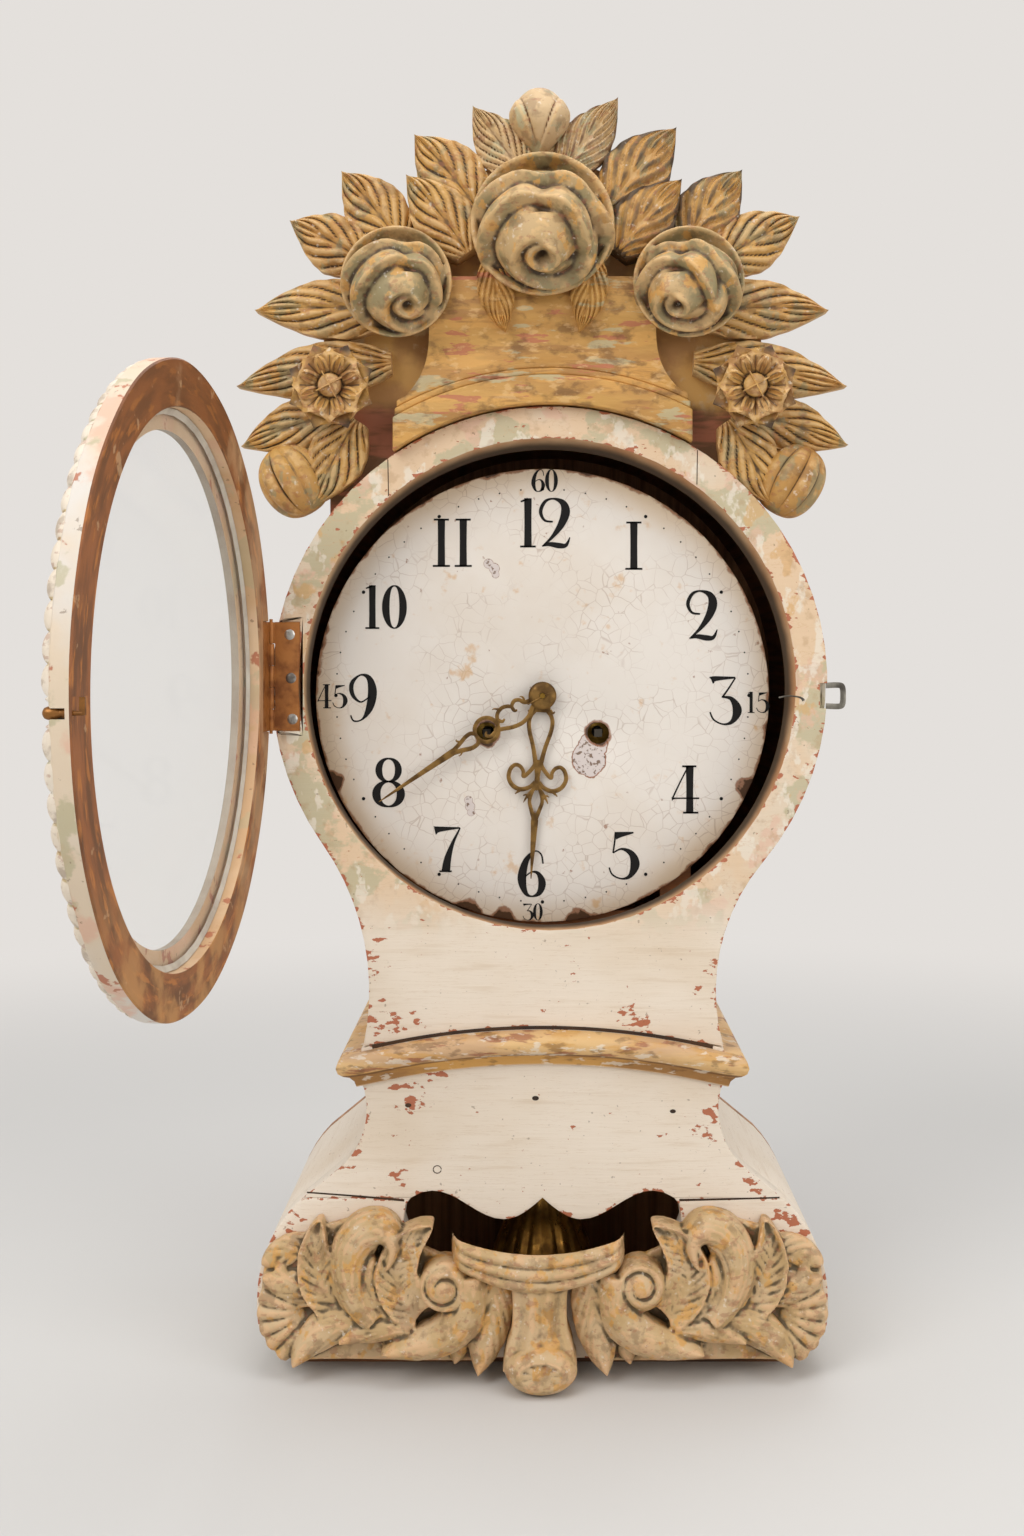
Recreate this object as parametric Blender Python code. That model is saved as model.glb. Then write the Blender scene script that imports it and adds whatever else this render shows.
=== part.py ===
"""A painted table clock: round head with a hinged glazed door, carved crest, narrow waist and swept base.

Metres, +Z up. The origin is the middle of the bottom board's underside and the front faces -Y.
"""

import math

import bmesh
import bpy
from mathutils import Matrix, Vector

# Fits
GAP = 0.0003            # between pieces that touch
RUNNING_FIT = 0.0003    # round a pivot or a pipe
DOOR_SHAKE = 0.0005     # between the shut door and the head front
OVERSHOOT = 0.001       # a cutter's reach past what it cuts, and a body's reach into the one it joins
FLAT_ANGLE = 0.0005     # faces closer than this are one flat face
CREASE_ANGLE = math.radians(35)
SAME_POINT = 1e-7

# Case depth
FRONT_Y = -0.110
BACK_Y = 0.110
BOARD_T = 0.022
BACK_T = 0.010
SIDE_T = 0.014

# Head and neck
HEAD_X = 0.005
HEAD_RISE = 0.2386
HEAD_R = 0.194
RING_W = 0.022
NECK_STEP = 0.0055
NECK_DROP = 0.2146
ARCH_R = 0.525
NECK_APEX_Z = 0.243

# Waist moulding
MOULDING_H = 0.024
MOULDING_PROUD = 0.016
MOULDING_DROP = 0.002
COVE_PROUD = 0.003
COVE_FLARE = 0.0045
TORUS_R = 0.007

# Base
BASE_TOP_HALF = 0.1265
WAIST_IN = 0.0038
WAIST_Z = 0.185
WAIST_TOP_Z = 0.199
WAIST_EASE = 0.004
HOLLOW_R = 0.055
BASE_HALF = 0.1995
SWELL_R = 0.095
SWELL_Z = 0.052
CORNER_R = 0.030
FRONT_BOTTOM_Z = 0.011
PLANK_JOINT_Z = 0.123
BOTTOM_T = 0.012
BOTTOM_HALF = 0.176
FOOT_EASE = 0.002
FOOT_SPREAD = 0.006

# Window between the two base planks, its heights measured down from the plank joint
WINDOW_HALF = 0.097
WINDOW_END_DROP = 0.016
WINDOW_FOOT_DROP = 0.048
WINDOW_EASE = 0.005
WINDOW_FOOT_IN = 0.026
LOBE_X = 0.077
LOBE_RISE = 0.005
PENDANT_X = 0.027
PENDANT_DROP = 0.015

# Seat for the movement
CHEEK_T = 0.022
CHEEK_RISE = 0.002
SEAT_T = 0.018
SEAT_DROP = 0.075
SEAT_HALF = 0.112
SEAT_SETBACK = 0.004
SEAT_OVERHANG = 0.004
RAIL_RISE = 0.057
RAIL_H = 0.018
RAIL_DEPTH = 0.030

# Crest, its heights measured from the top of the head's circle
CREST_T = 0.030
PLINTH_HALF = 0.104
PLINTH_LEDGE = 0.026
PLINTH_FOOT = 0.0154
PLINTH_TOP = 0.0664
PLINTH_TOP_HALF = 0.079
PLINTH_PROUD = 0.010
SPRAY_TOP = 0.1504
LEAF_T = 0.016
LEAF_RIB = 0.006
LEAF_SINK = 0.002
ROSE_CENTRE_R = 0.050
ROSE_CENTRE_AT = (0.0, 0.1244)
ROSE_SIDE_R = 0.039
ROSE_SIDE_AT = (0.1015, 0.0854)
ROSE_PROUD = 0.048
DAISY_R = 0.0285
DAISY_AT = (0.146, 0.0114)
DAISY_PROUD = 0.022
DAISY_STALK_R = 0.0085
BUD_H = 0.048
BUD_FORWARD = 0.004
FINIAL_BUD_R = 0.0215
FINIAL_BUD_AT = (-0.002, 0.2014)
FINIAL_FOOT_HALF = 0.030
FINIAL_NECK_HALF = 0.016
FINIAL_NECK = 0.1804
HANGING_BUD_R = 0.020
HANGING_BUD_AT = (0.176, -0.0526)
HANGING_BUD_LEAN = math.radians(145)
SPRAY_END = math.radians(40)     # where the sprays leave the head's circle, from the horizontal
SPRAY_EDGE = ((0.158, -0.0356), (0.168, 0.0144), (0.158, 0.0644), (0.140, 0.1044), (0.105, 0.1294),
              (0.060, 0.1494))
# Leaves as (root across, root height, tip across, tip height, width, forward)
SPRAY = (
    (0.046, 0.1394, 0.090, 0.1914, 0.046, 0.000),
    (0.100, 0.1164, 0.141, 0.1654, 0.042, 0.001),
    (0.125, 0.1024, 0.177, 0.1304, 0.038, 0.002),
    (0.122, 0.0694, 0.201, 0.0674, 0.038, 0.003),
    (0.135, 0.0284, 0.214, 0.0144, 0.036, 0.002),
    (0.140, -0.0046, 0.211, -0.0276, 0.036, 0.001),
    (0.132, -0.0116, 0.160, -0.0676, 0.036, 0.004),
    (0.056, 0.1104, 0.096, 0.1604, 0.040, 0.008),
)
PLINTH_LEAF = (0.031, 0.0764, 0.026, 0.0524, 0.022)
FINIAL_LEAVES = ((-0.012, 0.1624, -0.049, 0.2114, 0.034), (0.012, 0.1624, 0.053, 0.2174, 0.034))

# Apron carving, its heights measured from the surface it stands over
APRON_PROUD = 0.034
APRON_HALF = 0.197
SWAG_HALF = 0.061
SWAG_Z = 0.095
SWAG_RISE = 0.010
STEM_HALF = 0.030
STEM_TOP_Z = 0.070
STEM_FOOT_HALF = 0.028
STEM_FOOT_Z = 0.030
KNOB_PROUD = 0.050
KNOB_HALF = 0.024
KNOB_H = 0.0408
KNOB_FOOT_Z = 0.001
VOLUTE_OUT = 0.0025
VOLUTE_Z = 0.073
VOLUTE_R = 0.0145
VOLUTE_CLEAR = 0.0045
SCROLL_PROUD = 0.0255
# Outer part of the scroll's outline, then its lower edge back to the stem
SCROLL_TOP = ((0.090, 0.108), (0.118, 0.112), (0.150, 0.109), (0.178, 0.096), (0.194, 0.072))
SCROLL_FOOT = ((0.190, 0.022), (0.174, 0.006), (0.150, 0.014), (0.110, 0.012), (0.078, 0.010), (0.058, 0.004),
               (0.044, 0.006), (0.038, 0.030), (0.042, 0.062))
SCROLL_SIDE_Z = 0.046

# Door
DOOR_OPEN = math.radians(96)
DOOR_RIM = 0.0115
DOOR_T = 0.0175
DOOR_W = 0.041
ROLL_W = 0.020
ROLL_DROP = 0.005
SIGHT_LIP = 0.0055
RABBET_IN = 0.028
RABBET_DEPTH = 0.0112
GLASS_T = 0.0018
PUTTY_W = 0.004
PUTTY_H = 0.0018
HINGE_RISE = 0.0054
HINGE_H = 0.076
HINGE_LEAF_W = 0.020
HINGE_LEAF_T = 0.0014
HINGE_PIN_R = 0.0012
HINGE_PIN_SPARE = 0.002
KNUCKLE_R = 0.0024
KNUCKLES = 5
CATCH_INSET = 0.0035
CATCH_DROP = 0.0081
CATCH_SEAT = 0.0032      # wood left under the knob, which stands in a notch of the rim
SPINDLE_R = 0.0012
CATCH_KNOB_R = 0.0034
CATCH_KNOB_L = 0.012
BLADE_T = 0.002
BLADE_L = 0.008
BLADE_W = 0.003
KEEPER_OUT = 0.012
KEEPER_H = 0.017
KEEPER_BAR = 0.0028
KEEPER_T = 0.0022

# Dial and hands
ARBOR_DROP = 0.0086
DIAL_SPARE = 0.0095
DIAL_SETBACK = 0.035
DIAL_T = 0.0012
DIAL_FOOT_R = 0.003
DIAL_FOOT_INSET = 0.016
WIND_X = 0.040
WIND_DROP = 0.027
WIND_HOLE_R = 0.0078
MINUTE_HAND_L = 0.139
MINUTE_HAND_HALF = 0.006
HOUR_HAND_L = 0.131
HOUR_HAND_HALF = 0.020
MINUTE_ANGLE = math.radians(237)
HOUR_ANGLE = math.radians(183.6)
HAND_T = 0.0012
HAND_BOSS_R = 0.009
HOUR_HAND_AHEAD = 0.0060
HAND_STEP = 0.0026
HOUR_PIPE_R = 0.0045
CANNON_PIPE_R = 0.0030
COLLET_R = 0.0075
COLLET_T = 0.0028
ARBOR_END = 0.004
# Shares of a hand's length, each with a share of its widest half
MINUTE_SHAPE = ((0.0, 0.20), (0.10, 0.37), (0.22, 1.0), (0.34, 1.0), (0.42, 0.40), (0.55, 0.57),
                (0.66, 0.27), (0.99, 0.10))
HOUR_SHAPE = ((0.0, 0.06), (0.10, 0.20), (0.25, 0.29), (0.37, 0.15), (0.42, 0.90), (0.52, 1.0),
              (0.58, 0.30), (0.66, 0.13), (0.76, 0.08), (0.99, 0.03))

# Movement
PLATE_T = 0.003
PLATE_HALF = 0.088
PLATE_H = 0.167
PLATE_SPACE = 0.045
DIAL_TO_PLATE = 0.027
PILLAR_R = 0.0035
PILLAR_INSET = 0.006
PILLAR_END = 0.002
ARBOR_R = 0.002
TRAIN_ARBOR_R = 0.0015
PIVOT_R = 0.0010
PIVOT_SHORT = 0.001
SHOULDER = 0.003
WIND_ARBOR_R = 0.004
WIND_ARBOR_AHEAD = 0.006
WIND_SQUARE = 0.0028
WIND_SQUARE_BACK = 0.001
DRUM_R = 0.032
DRUM_L = 0.020
DRUM_SETBACK = 0.011
RIM_SINK = 0.0002
WHEEL_T = 0.002
PINION_L = 0.0045
PINION_LEAD = 0.001
CENTRE_SETBACK = 0.003
THIRD_AHEAD = 0.008
ESCAPE_SETBACK = 0.021
PIN_WHEEL_AHEAD = 0.012
MOTION_AHEAD = 0.006
MOTION_STEP = 0.0055

# Teeth: the going train, the motion work and the strike
GREAT_TEETH, CENTRE_LEAVES = 48, 8
CENTRE_TEETH, THIRD_LEAVES = 56, 6
THIRD_TEETH, ESCAPE_LEAVES = 54, 6
ESCAPE_TEETH, ESCAPE_R, ESCAPE_ROOT = 30, 0.022, 0.0035
CANNON_TEETH, MINUTE_TEETH = 12, 36
MINUTE_LEAVES, HOUR_TEETH = 10, 40
CENTRE_THIRD = 0.03255
THIRD_X = -0.019
THIRD_ESCAPE = 0.0264
CANNON_MINUTE = 0.024
MINUTE_WHEEL_X = 0.017
PIN_WHEEL_X = -0.052
PIN_TEETH, PIN_WHEEL_R, PIN_ROOT = 12, 0.020, 0.002

# Pallets and crutch
PALLET_RISE = 0.077
ANCHOR_CLEAR = 0.0035
ANCHOR_HALF_ANGLE = math.radians(45)
ANCHOR_HUB = 0.004
ANCHOR_T = 0.003
NIB_W = 0.0045
NIB_H = 0.002
CRUTCH_BACK = 0.005
CRUTCH_L = 0.050
CRUTCH_HALF = 0.002
CRUTCH_T = 0.002
FORK_HALF = 0.0055
FORK_H = 0.003

# Pendulum
PENDULUM_BACK = 0.015
COCK_RISE = 0.008
COCK_HALF = 0.009
COCK_T = 0.004
COCK_OVER = 0.007
COCK_ARM_HALF = 0.007
COCK_ARM_H = 0.010
COCK_ARM_PAST = 0.006
SPRING_HALF = 0.002
SPRING_T = 0.0008
SPRING_L = 0.020
ROD_R = 0.002
ROD_END_Z = 0.0143
NUT_R = 0.006
NUT_H = 0.004
NUT_RISE = 0.0005
BOB_R = 0.040
BOB_H = 0.078
BOB_COLLAR = 0.001
BOB_FLUTES = 12
FLUTE_DEPTH = 0.06

# Bell and hammer
BELL_X = 0.045
BELL_R = 0.034
BELL_H = 0.036
BELL_WALL = 0.0025
BELL_RISE = 0.113
STANDARD_R = 0.0025
STANDARD_TAIL_R = 0.0015
STANDARD_TAIL = 0.004
STANDARD_LAP = 0.030
HAMMER_X = 0.058
HAMMER_RISE = 0.073
HAMMER_L = 0.046
HAMMER_HEAD_R = 0.005
HAMMER_HEAD_L = 0.013
HAMMER_CLEAR = 0.003
HAMMER_AHEAD = 0.010
HAMMER_BAR_HALF = 0.0018
HAMMER_BAR_T = 0.0024

# Finishes: colour, roughness, metallic
CREAM_PAINT = ((0.80, 0.71, 0.58, 1.0), 0.60, 0.0)
OCHRE_PAINT = ((0.47, 0.29, 0.08, 1.0), 0.62, 0.0)
SAGE_PAINT = ((0.39, 0.35, 0.19, 1.0), 0.62, 0.0)
GILT_BROWN = ((0.44, 0.28, 0.10, 1.0), 0.50, 0.1)
BARE_WOOD = ((0.26, 0.11, 0.03, 1.0), 0.70, 0.0)
IVORY_DIAL = ((0.82, 0.74, 0.65, 1.0), 0.45, 0.0)
DARK_BRASS = ((0.25, 0.15, 0.05, 1.0), 0.40, 0.9)
BRASS = ((0.60, 0.42, 0.15, 1.0), 0.35, 1.0)
STEEL = ((0.45, 0.44, 0.42, 1.0), 0.35, 1.0)
COPPER_BROWN = ((0.33, 0.10, 0.02, 1.0), 0.45, 0.6)
CLEAR_GLASS = ((0.90, 0.94, 0.93, 1.0), 0.05, 0.0)
GREY_PUTTY = ((0.36, 0.37, 0.36, 1.0), 0.80, 0.0)

# Worked-out places
HEAD_Z = NECK_APEX_Z + HEAD_RISE
NECK_Z = HEAD_Z - NECK_DROP
NECK_HALF = BASE_TOP_HALF - NECK_STEP
WAIST_HALF = BASE_TOP_HALF - WAIST_IN
DIAL_OPENING_R = HEAD_R - RING_W
DIAL_R = DIAL_OPENING_R - DIAL_SPARE
DOOR_SIGHT_R = HEAD_R - DOOR_W
RABBET_R = HEAD_R - RABBET_IN
BOARD_BACK_Y = FRONT_Y + BOARD_T
SIDE_FRONT_Y = BOARD_BACK_Y + GAP
SIDE_BACK_Y = BACK_Y - BACK_T - GAP
DIAL_Y = FRONT_Y + DIAL_SETBACK
HOUR_HAND_Y = DIAL_Y - HOUR_HAND_AHEAD
MINUTE_HAND_Y = HOUR_HAND_Y - HAND_T - HAND_STEP
PLATE_Y = DIAL_Y + DIAL_TO_PLATE
PLATE_BACK_Y = PLATE_Y + PLATE_T
REAR_PLATE_Y = PLATE_BACK_Y + PLATE_SPACE
REAR_BACK_Y = REAR_PLATE_Y + PLATE_T
DRUM_Y = PLATE_BACK_Y + DRUM_SETBACK
PENDULUM_Y = REAR_BACK_Y + PENDULUM_BACK
CREST_Z = HEAD_Z + HEAD_R
CREST_R = HEAD_R + GAP
CREST_FACE_Y = FRONT_Y + LEAF_T
CREST_BACK_Y = FRONT_Y + CREST_T
ARBOR_Z = HEAD_Z - ARBOR_DROP
PALLET_Z = ARBOR_Z + PALLET_RISE
SEAT_TOP_Z = ARBOR_Z - SEAT_DROP
WIND_Z = ARBOR_Z - WIND_DROP
BARREL_REACH = math.hypot(WIND_X, WIND_DROP)
THIRD_Z = ARBOR_Z + math.sqrt(CENTRE_THIRD ** 2 - THIRD_X ** 2)
ESCAPE_Z = THIRD_Z + math.sqrt(THIRD_ESCAPE ** 2 - THIRD_X ** 2)
MINUTE_WHEEL_Z = ARBOR_Z + math.sqrt(CANNON_MINUTE ** 2 - MINUTE_WHEEL_X ** 2)
PIN_WHEEL_Z = WIND_Z + math.sqrt(BARREL_REACH ** 2 - (PIN_WHEEL_X + WIND_X) ** 2)
PLATE_BOTTOM_Z = SEAT_TOP_Z + GAP
PLATE_TOP_Z = PLATE_BOTTOM_Z + PLATE_H
HAMMER_Z = ARBOR_Z + HAMMER_RISE
BELL_MOUTH_Z = ARBOR_Z + BELL_RISE
HINGE_X = HEAD_X - HEAD_R - DOOR_SHAKE
HINGE_Y = FRONT_Y - DOOR_SHAKE / 2
HINGE_Z = HEAD_Z + HINGE_RISE
CATCH_X = HEAD_X + HEAD_R - CATCH_INSET
CATCH_Z = HEAD_Z - CATCH_DROP
WINDOW_END_Z = PLANK_JOINT_Z - WINDOW_END_DROP
WINDOW_FOOT_Z = PLANK_JOINT_Z - WINDOW_FOOT_DROP
PENDANT_Z = PLANK_JOINT_Z - PENDANT_DROP
VOLUTE_X = SWAG_HALF + VOLUTE_OUT
FACING_FRONT = Matrix.Rotation(math.radians(90), 4, "X")


def clear_scene():
    for item in list(bpy.data.objects):
        bpy.data.objects.remove(item, do_unlink=True)


# Small geometry helpers

def arc(cx, cz, radius, start, end, steps):
    """Points on an arc, angles in radians, both ends included."""
    points = []
    for i in range(steps + 1):
        angle = start + (end - start) * i / steps
        points.append((cx + radius * math.cos(angle), cz + radius * math.sin(angle)))
    return points


def circle(cx, cz, radius, steps):
    return arc(cx, cz, radius, 0.0, 2 * math.pi * (1 - 1 / steps), steps - 1)


def arch_drop(x):
    """How far the waist's arch falls away from its apex at x."""
    return ARCH_R - math.sqrt(ARCH_R ** 2 - x ** 2)


def mirrored(points):
    """The right half of a symmetrical outline, closed with its left half."""
    return points + [(-x, z) for x, z in reversed(points) if abs(x) > SAME_POINT]


def closed(mesh):
    bmesh.ops.recalc_face_normals(mesh, faces=mesh.faces)
    return mesh


def prism(outline, y_front, y_back, holes=()):
    """A plate with an (x, z) outline and holes, between two depths."""
    mesh = bmesh.new()
    edges = []
    for loop in (outline, *holes):
        verts = [mesh.verts.new((x, y_front, z)) for x, z in loop]
        for i, vert in enumerate(verts):
            edges.append(mesh.edges.new((vert, verts[(i + 1) % len(verts)])))
    filled = bmesh.ops.triangle_fill(mesh, use_beauty=True, edges=edges)
    faces = [item for item in filled["geom"] if isinstance(item, bmesh.types.BMFace)]
    made = bmesh.ops.extrude_face_region(mesh, geom=faces)
    moved = [item for item in made["geom"] if isinstance(item, bmesh.types.BMVert)]
    bmesh.ops.translate(mesh, verts=moved, vec=(0, y_back - y_front, 0))
    return closed(mesh)


def loft(rings):
    """A closed body through rings of points, each ring with the same count."""
    mesh = bmesh.new()
    rows = [[mesh.verts.new(point) for point in ring] for ring in rings]
    count = len(rows[0])
    for low, high in zip(rows, rows[1:]):
        for i in range(count):
            j = (i + 1) % count
            mesh.faces.new((low[i], low[j], high[j], high[i]))
    mesh.faces.new(rows[0])
    mesh.faces.new(rows[-1])
    return closed(mesh)


def turned(profile, steps, lobes=0, lobe_depth=0.0):
    """A body turned about Z from (radius, height) points; a closed profile when it keeps off the axis."""
    mesh = bmesh.new()
    rows = []
    for radius, height in profile:
        if radius < SAME_POINT:
            rows.append([mesh.verts.new((0, 0, height))])
            continue
        row = []
        for i in range(steps):
            angle = 2 * math.pi * i / steps
            wave = 1 - lobe_depth * (0.5 - 0.5 * math.cos(lobes * angle))
            place = (radius * wave * math.cos(angle), radius * wave * math.sin(angle), height)
            row.append(mesh.verts.new(place))
        rows.append(row)
    on_axis = len(rows[0]) == 1
    pairs = list(zip(rows, rows[1:]))
    if not on_axis:
        pairs.append((rows[-1], rows[0]))
    for low, high in pairs:
        for i in range(steps):
            j = (i + 1) % steps
            corners = [low[i % len(low)], low[j % len(low)], high[j % len(high)], high[i % len(high)]]
            unique = list(dict.fromkeys(corners))
            mesh.faces.new(unique)
    return closed(mesh)


def rod(radius, start, end, steps=8):
    """A round bar from one point to another."""
    start, end = Vector(start), Vector(end)
    length = (end - start).length
    mesh = turned([(0, 0), (radius, 0), (radius, length), (0, length)], steps)
    turn = (end - start).to_track_quat("Z", "Y").to_matrix().to_4x4()
    return moved(mesh, Matrix.Translation(start) @ turn)


def box(low, high):
    mesh = bmesh.new()
    bmesh.ops.create_cube(mesh, size=1.0)
    size = Vector(high) - Vector(low)
    middle = (Vector(high) + Vector(low)) / 2
    bmesh.ops.scale(mesh, vec=size, verts=mesh.verts)
    bmesh.ops.translate(mesh, vec=middle, verts=mesh.verts)
    return mesh


def moved(mesh, matrix):
    bmesh.ops.transform(mesh, matrix=matrix, verts=mesh.verts)
    return mesh


def axis_empty(name, place):
    """An empty on a joint's axis, for the pieces that turn about it."""
    item = bpy.data.objects.new(name, None)
    item.location = place
    bpy.context.scene.collection.objects.link(item)
    return item


def facing_front(mesh, x, y, z):
    """Turn a body made about +Z so that it faces -Y, with its foot at a point."""
    return moved(mesh, Matrix.Translation((x, y, z)) @ FACING_FRONT)


def scratch_object(mesh):
    data = bpy.data.meshes.new("scratch")
    mesh.to_mesh(data)
    mesh.free()
    item = bpy.data.objects.new("scratch", data)
    bpy.context.scene.collection.objects.link(item)
    return item


def combine(base, tool, operation):
    """Union, difference or intersection of two closed bodies."""
    base_item, tool_item = scratch_object(base), scratch_object(tool)
    modifier = base_item.modifiers.new("combine", "BOOLEAN")
    modifier.operation = operation
    modifier.solver = "EXACT"
    modifier.object = tool_item
    view = bpy.context.evaluated_depsgraph_get()
    data = bpy.data.meshes.new_from_object(base_item.evaluated_get(view))
    result = bmesh.new()
    result.from_mesh(data)
    for item in (base_item, tool_item):
        bpy.data.objects.remove(item, do_unlink=True)
    return result


def fused(first, *others):
    for other in others:
        first = combine(first, other, "UNION")
    return first


def cut(base, *tools):
    for tool in tools:
        base = combine(base, tool, "DIFFERENCE")
    return base


def finish(name, look):
    material = bpy.data.materials.new(name + "_finish")
    material.use_nodes = True
    shader = material.node_tree.nodes["Principled BSDF"]
    shader.inputs["Base Color"].default_value = look[0]
    shader.inputs["Roughness"].default_value = look[1]
    shader.inputs["Metallic"].default_value = look[2]
    return material


def piece(name, mesh, look, pivot=(0, 0, 0), parent=None):
    """Make a named object from a body in world places, with its origin at the pivot."""
    bmesh.ops.remove_doubles(mesh, verts=mesh.verts, dist=SAME_POINT)
    bmesh.ops.dissolve_limit(mesh, angle_limit=FLAT_ANGLE, verts=mesh.verts, edges=mesh.edges)
    bmesh.ops.triangulate(mesh, faces=mesh.faces)
    bmesh.ops.translate(mesh, vec=-Vector(pivot), verts=mesh.verts)
    data = bpy.data.meshes.new(name)
    mesh.to_mesh(data)
    mesh.free()
    data.shade_smooth()
    data.set_sharp_from_angle(angle=CREASE_ANGLE)
    data.materials.append(finish(name, look))
    item = bpy.data.objects.new(name, data)
    item.location = pivot
    bpy.context.scene.collection.objects.link(item)
    if parent:
        item.location = Vector(pivot) - parent.location
        item.parent = parent
    return item


# Head and neck

def neck_arc(side):
    """Centre and radius of the hollow that joins the head circle to the neck."""
    reach = NECK_HALF - side * HEAD_X
    height = HEAD_Z - NECK_Z
    radius = (reach ** 2 + height ** 2 - HEAD_R ** 2) / (2 * (HEAD_R - reach))
    return side * (NECK_HALF + radius), NECK_Z, radius


def head_path(inset=0.0):
    """The head's outline from the neck's lower left corner, over the top, to its lower right corner."""
    foot_z = NECK_APEX_Z - arch_drop(NECK_HALF)
    left_x, left_z, left_r = neck_arc(-1)
    right_x, right_z, right_r = neck_arc(1)
    left_r += inset
    right_r += inset
    left_top = math.atan2(HEAD_Z - left_z, HEAD_X - left_x)
    right_top = math.atan2(HEAD_Z - right_z, HEAD_X - right_x)
    left_foot = math.asin((foot_z - left_z) / left_r)
    right_foot = math.pi - math.asin((foot_z - right_z) / right_r)
    path = arc(left_x, left_z, left_r, left_foot, left_top, 10)
    path += arc(HEAD_X, HEAD_Z, HEAD_R - inset, left_top + math.pi, right_top - math.pi, 48)[1:-1]
    path += arc(right_x, right_z, right_r, right_top, right_foot, 10)
    return path


def neck_bottom():
    """Points of the arched lower edge, right to left, without its corners."""
    steps = 12
    xs = [NECK_HALF * (1 - 2 * i / steps) for i in range(1, steps)]
    return [(x, NECK_APEX_Z - arch_drop(x)) for x in xs]


def knuckle_room():
    """The round channel that clears the hinge knuckles in the head front and in the door."""
    ends = HINGE_H / 2 + GAP
    start, end = (HINGE_X, HINGE_Y, HINGE_Z - ends), (HINGE_X, HINGE_Y, HINGE_Z + ends)
    return rod(KNUCKLE_R + GAP, start, end, 16)


def build_head():
    opening = circle(HEAD_X, HEAD_Z, DIAL_OPENING_R, 56)
    shape = head_path() + neck_bottom()
    front = prism(shape, FRONT_Y, BOARD_BACK_Y, [opening])
    half_slot = max(BLADE_L, KEEPER_H / 2) + RUNNING_FIT
    slot_low = (CATCH_X - BLADE_T * 0.9, FRONT_Y - GAP, CATCH_Z - half_slot)
    slot_depth = 2 * KEEPER_T + BLADE_W + DOOR_SHAKE
    slot_high = (HEAD_X + HEAD_R + GAP, FRONT_Y + slot_depth, CATCH_Z + half_slot)
    leaf_low = (HINGE_X - GAP, FRONT_Y - GAP, HINGE_Z - HINGE_H / 2 - GAP)
    leaf_high = (HINGE_X + HINGE_LEAF_W + GAP, FRONT_Y + HINGE_LEAF_T + GAP, HINGE_Z + HINGE_H / 2 + GAP)
    front = cut(front, box(slot_low, slot_high), box(leaf_low, leaf_high), knuckle_room())
    piece("head_front_board", front, CREAM_PAINT)
    hoop = head_path() + list(reversed(head_path(SIDE_T)))
    piece("head_side_band", prism(hoop, SIDE_FRONT_Y, SIDE_BACK_Y), CREAM_PAINT)
    piece("head_back_board", prism(shape, BACK_Y - BACK_T, BACK_Y), BARE_WOOD)


# Waist moulding

def moulding_profile():
    """(proud, height) points, from the back of the foot, over the cove and torus, to the back of the top."""
    torus_z = MOULDING_H - TORUS_R * 1.25
    points = [(0.0, 0.0), (COVE_PROUD, 0.0)]
    for flare, rise in ((0.27, 0.16), (1.0, 0.30)):
        points.append((COVE_PROUD + COVE_FLARE * flare, MOULDING_H * rise))
    swell = arc(MOULDING_PROUD - TORUS_R, torus_z, TORUS_R, math.radians(-70), math.radians(100), 5)
    return points + swell + [(0.0, MOULDING_H)]


def build_moulding():
    top_z = NECK_APEX_Z - GAP - MOULDING_DROP
    side_x = BASE_TOP_HALF + GAP
    front_face = FRONT_Y - GAP
    profile = moulding_profile()
    rings = []
    stations = 16
    for i in range(stations + 1):
        share = -1 + 2 * i / stations
        ring = []
        for proud, height in profile:
            x = share * (side_x + proud)
            z = top_z - MOULDING_H - arch_drop(share * side_x) + height
            ring.append((x, front_face - proud, z))
        rings.append(ring)
    piece("waist_moulding_front", loft(rings), OCHRE_PAINT)
    foot_z = top_z - MOULDING_H - arch_drop(side_x)
    for side, name in ((-1, "left"), (1, "right")):
        ends = []
        for mitre, y_end in ((1.0, front_face + GAP * 1.5), (0.0, BACK_Y)):
            ends.append([(side * (side_x + p), y_end - mitre * p, foot_z + h) for p, h in profile])
        piece("waist_moulding_" + name, loft(ends), OCHRE_PAINT)


# Base

def base_top():
    """Height of the front's upper corners, under the neck's arch."""
    return NECK_APEX_Z - GAP - arch_drop(BASE_TOP_HALF)


def base_side(top_z, inset=0.0):
    """Right side of the base from its top down to the foot of its rounded corner."""
    hollow_x = WAIST_HALF + HOLLOW_R
    swell_x = BASE_HALF - SWELL_R
    corner_x = BASE_HALF - CORNER_R
    corner_z = FRONT_BOTTOM_Z + CORNER_R
    upper = math.pi - math.asin((WAIST_TOP_Z - WAIST_Z) / (HOLLOW_R + inset))
    path = [(BASE_TOP_HALF - inset, top_z), (BASE_TOP_HALF - inset, WAIST_TOP_Z + WAIST_EASE)]
    path += arc(hollow_x, WAIST_Z, HOLLOW_R + inset, upper, math.radians(225), 6)
    path += arc(swell_x, SWELL_Z, SWELL_R - inset, math.radians(45), 0.0, 7)
    if inset:
        return path + [(BASE_HALF - inset, corner_z)]
    return path + arc(corner_x, corner_z, CORNER_R, 0.0, math.radians(-90), 6)


def half_width_at(z):
    """Half the base's width where the plank joint crosses it."""
    path = base_side(base_top())
    for (x0, z0), (x1, z1) in zip(path, path[1:]):
        if z1 <= z <= z0 and z0 > z1:
            return x0 + (x1 - x0) * (z0 - z) / (z0 - z1)
    return BASE_HALF


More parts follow.
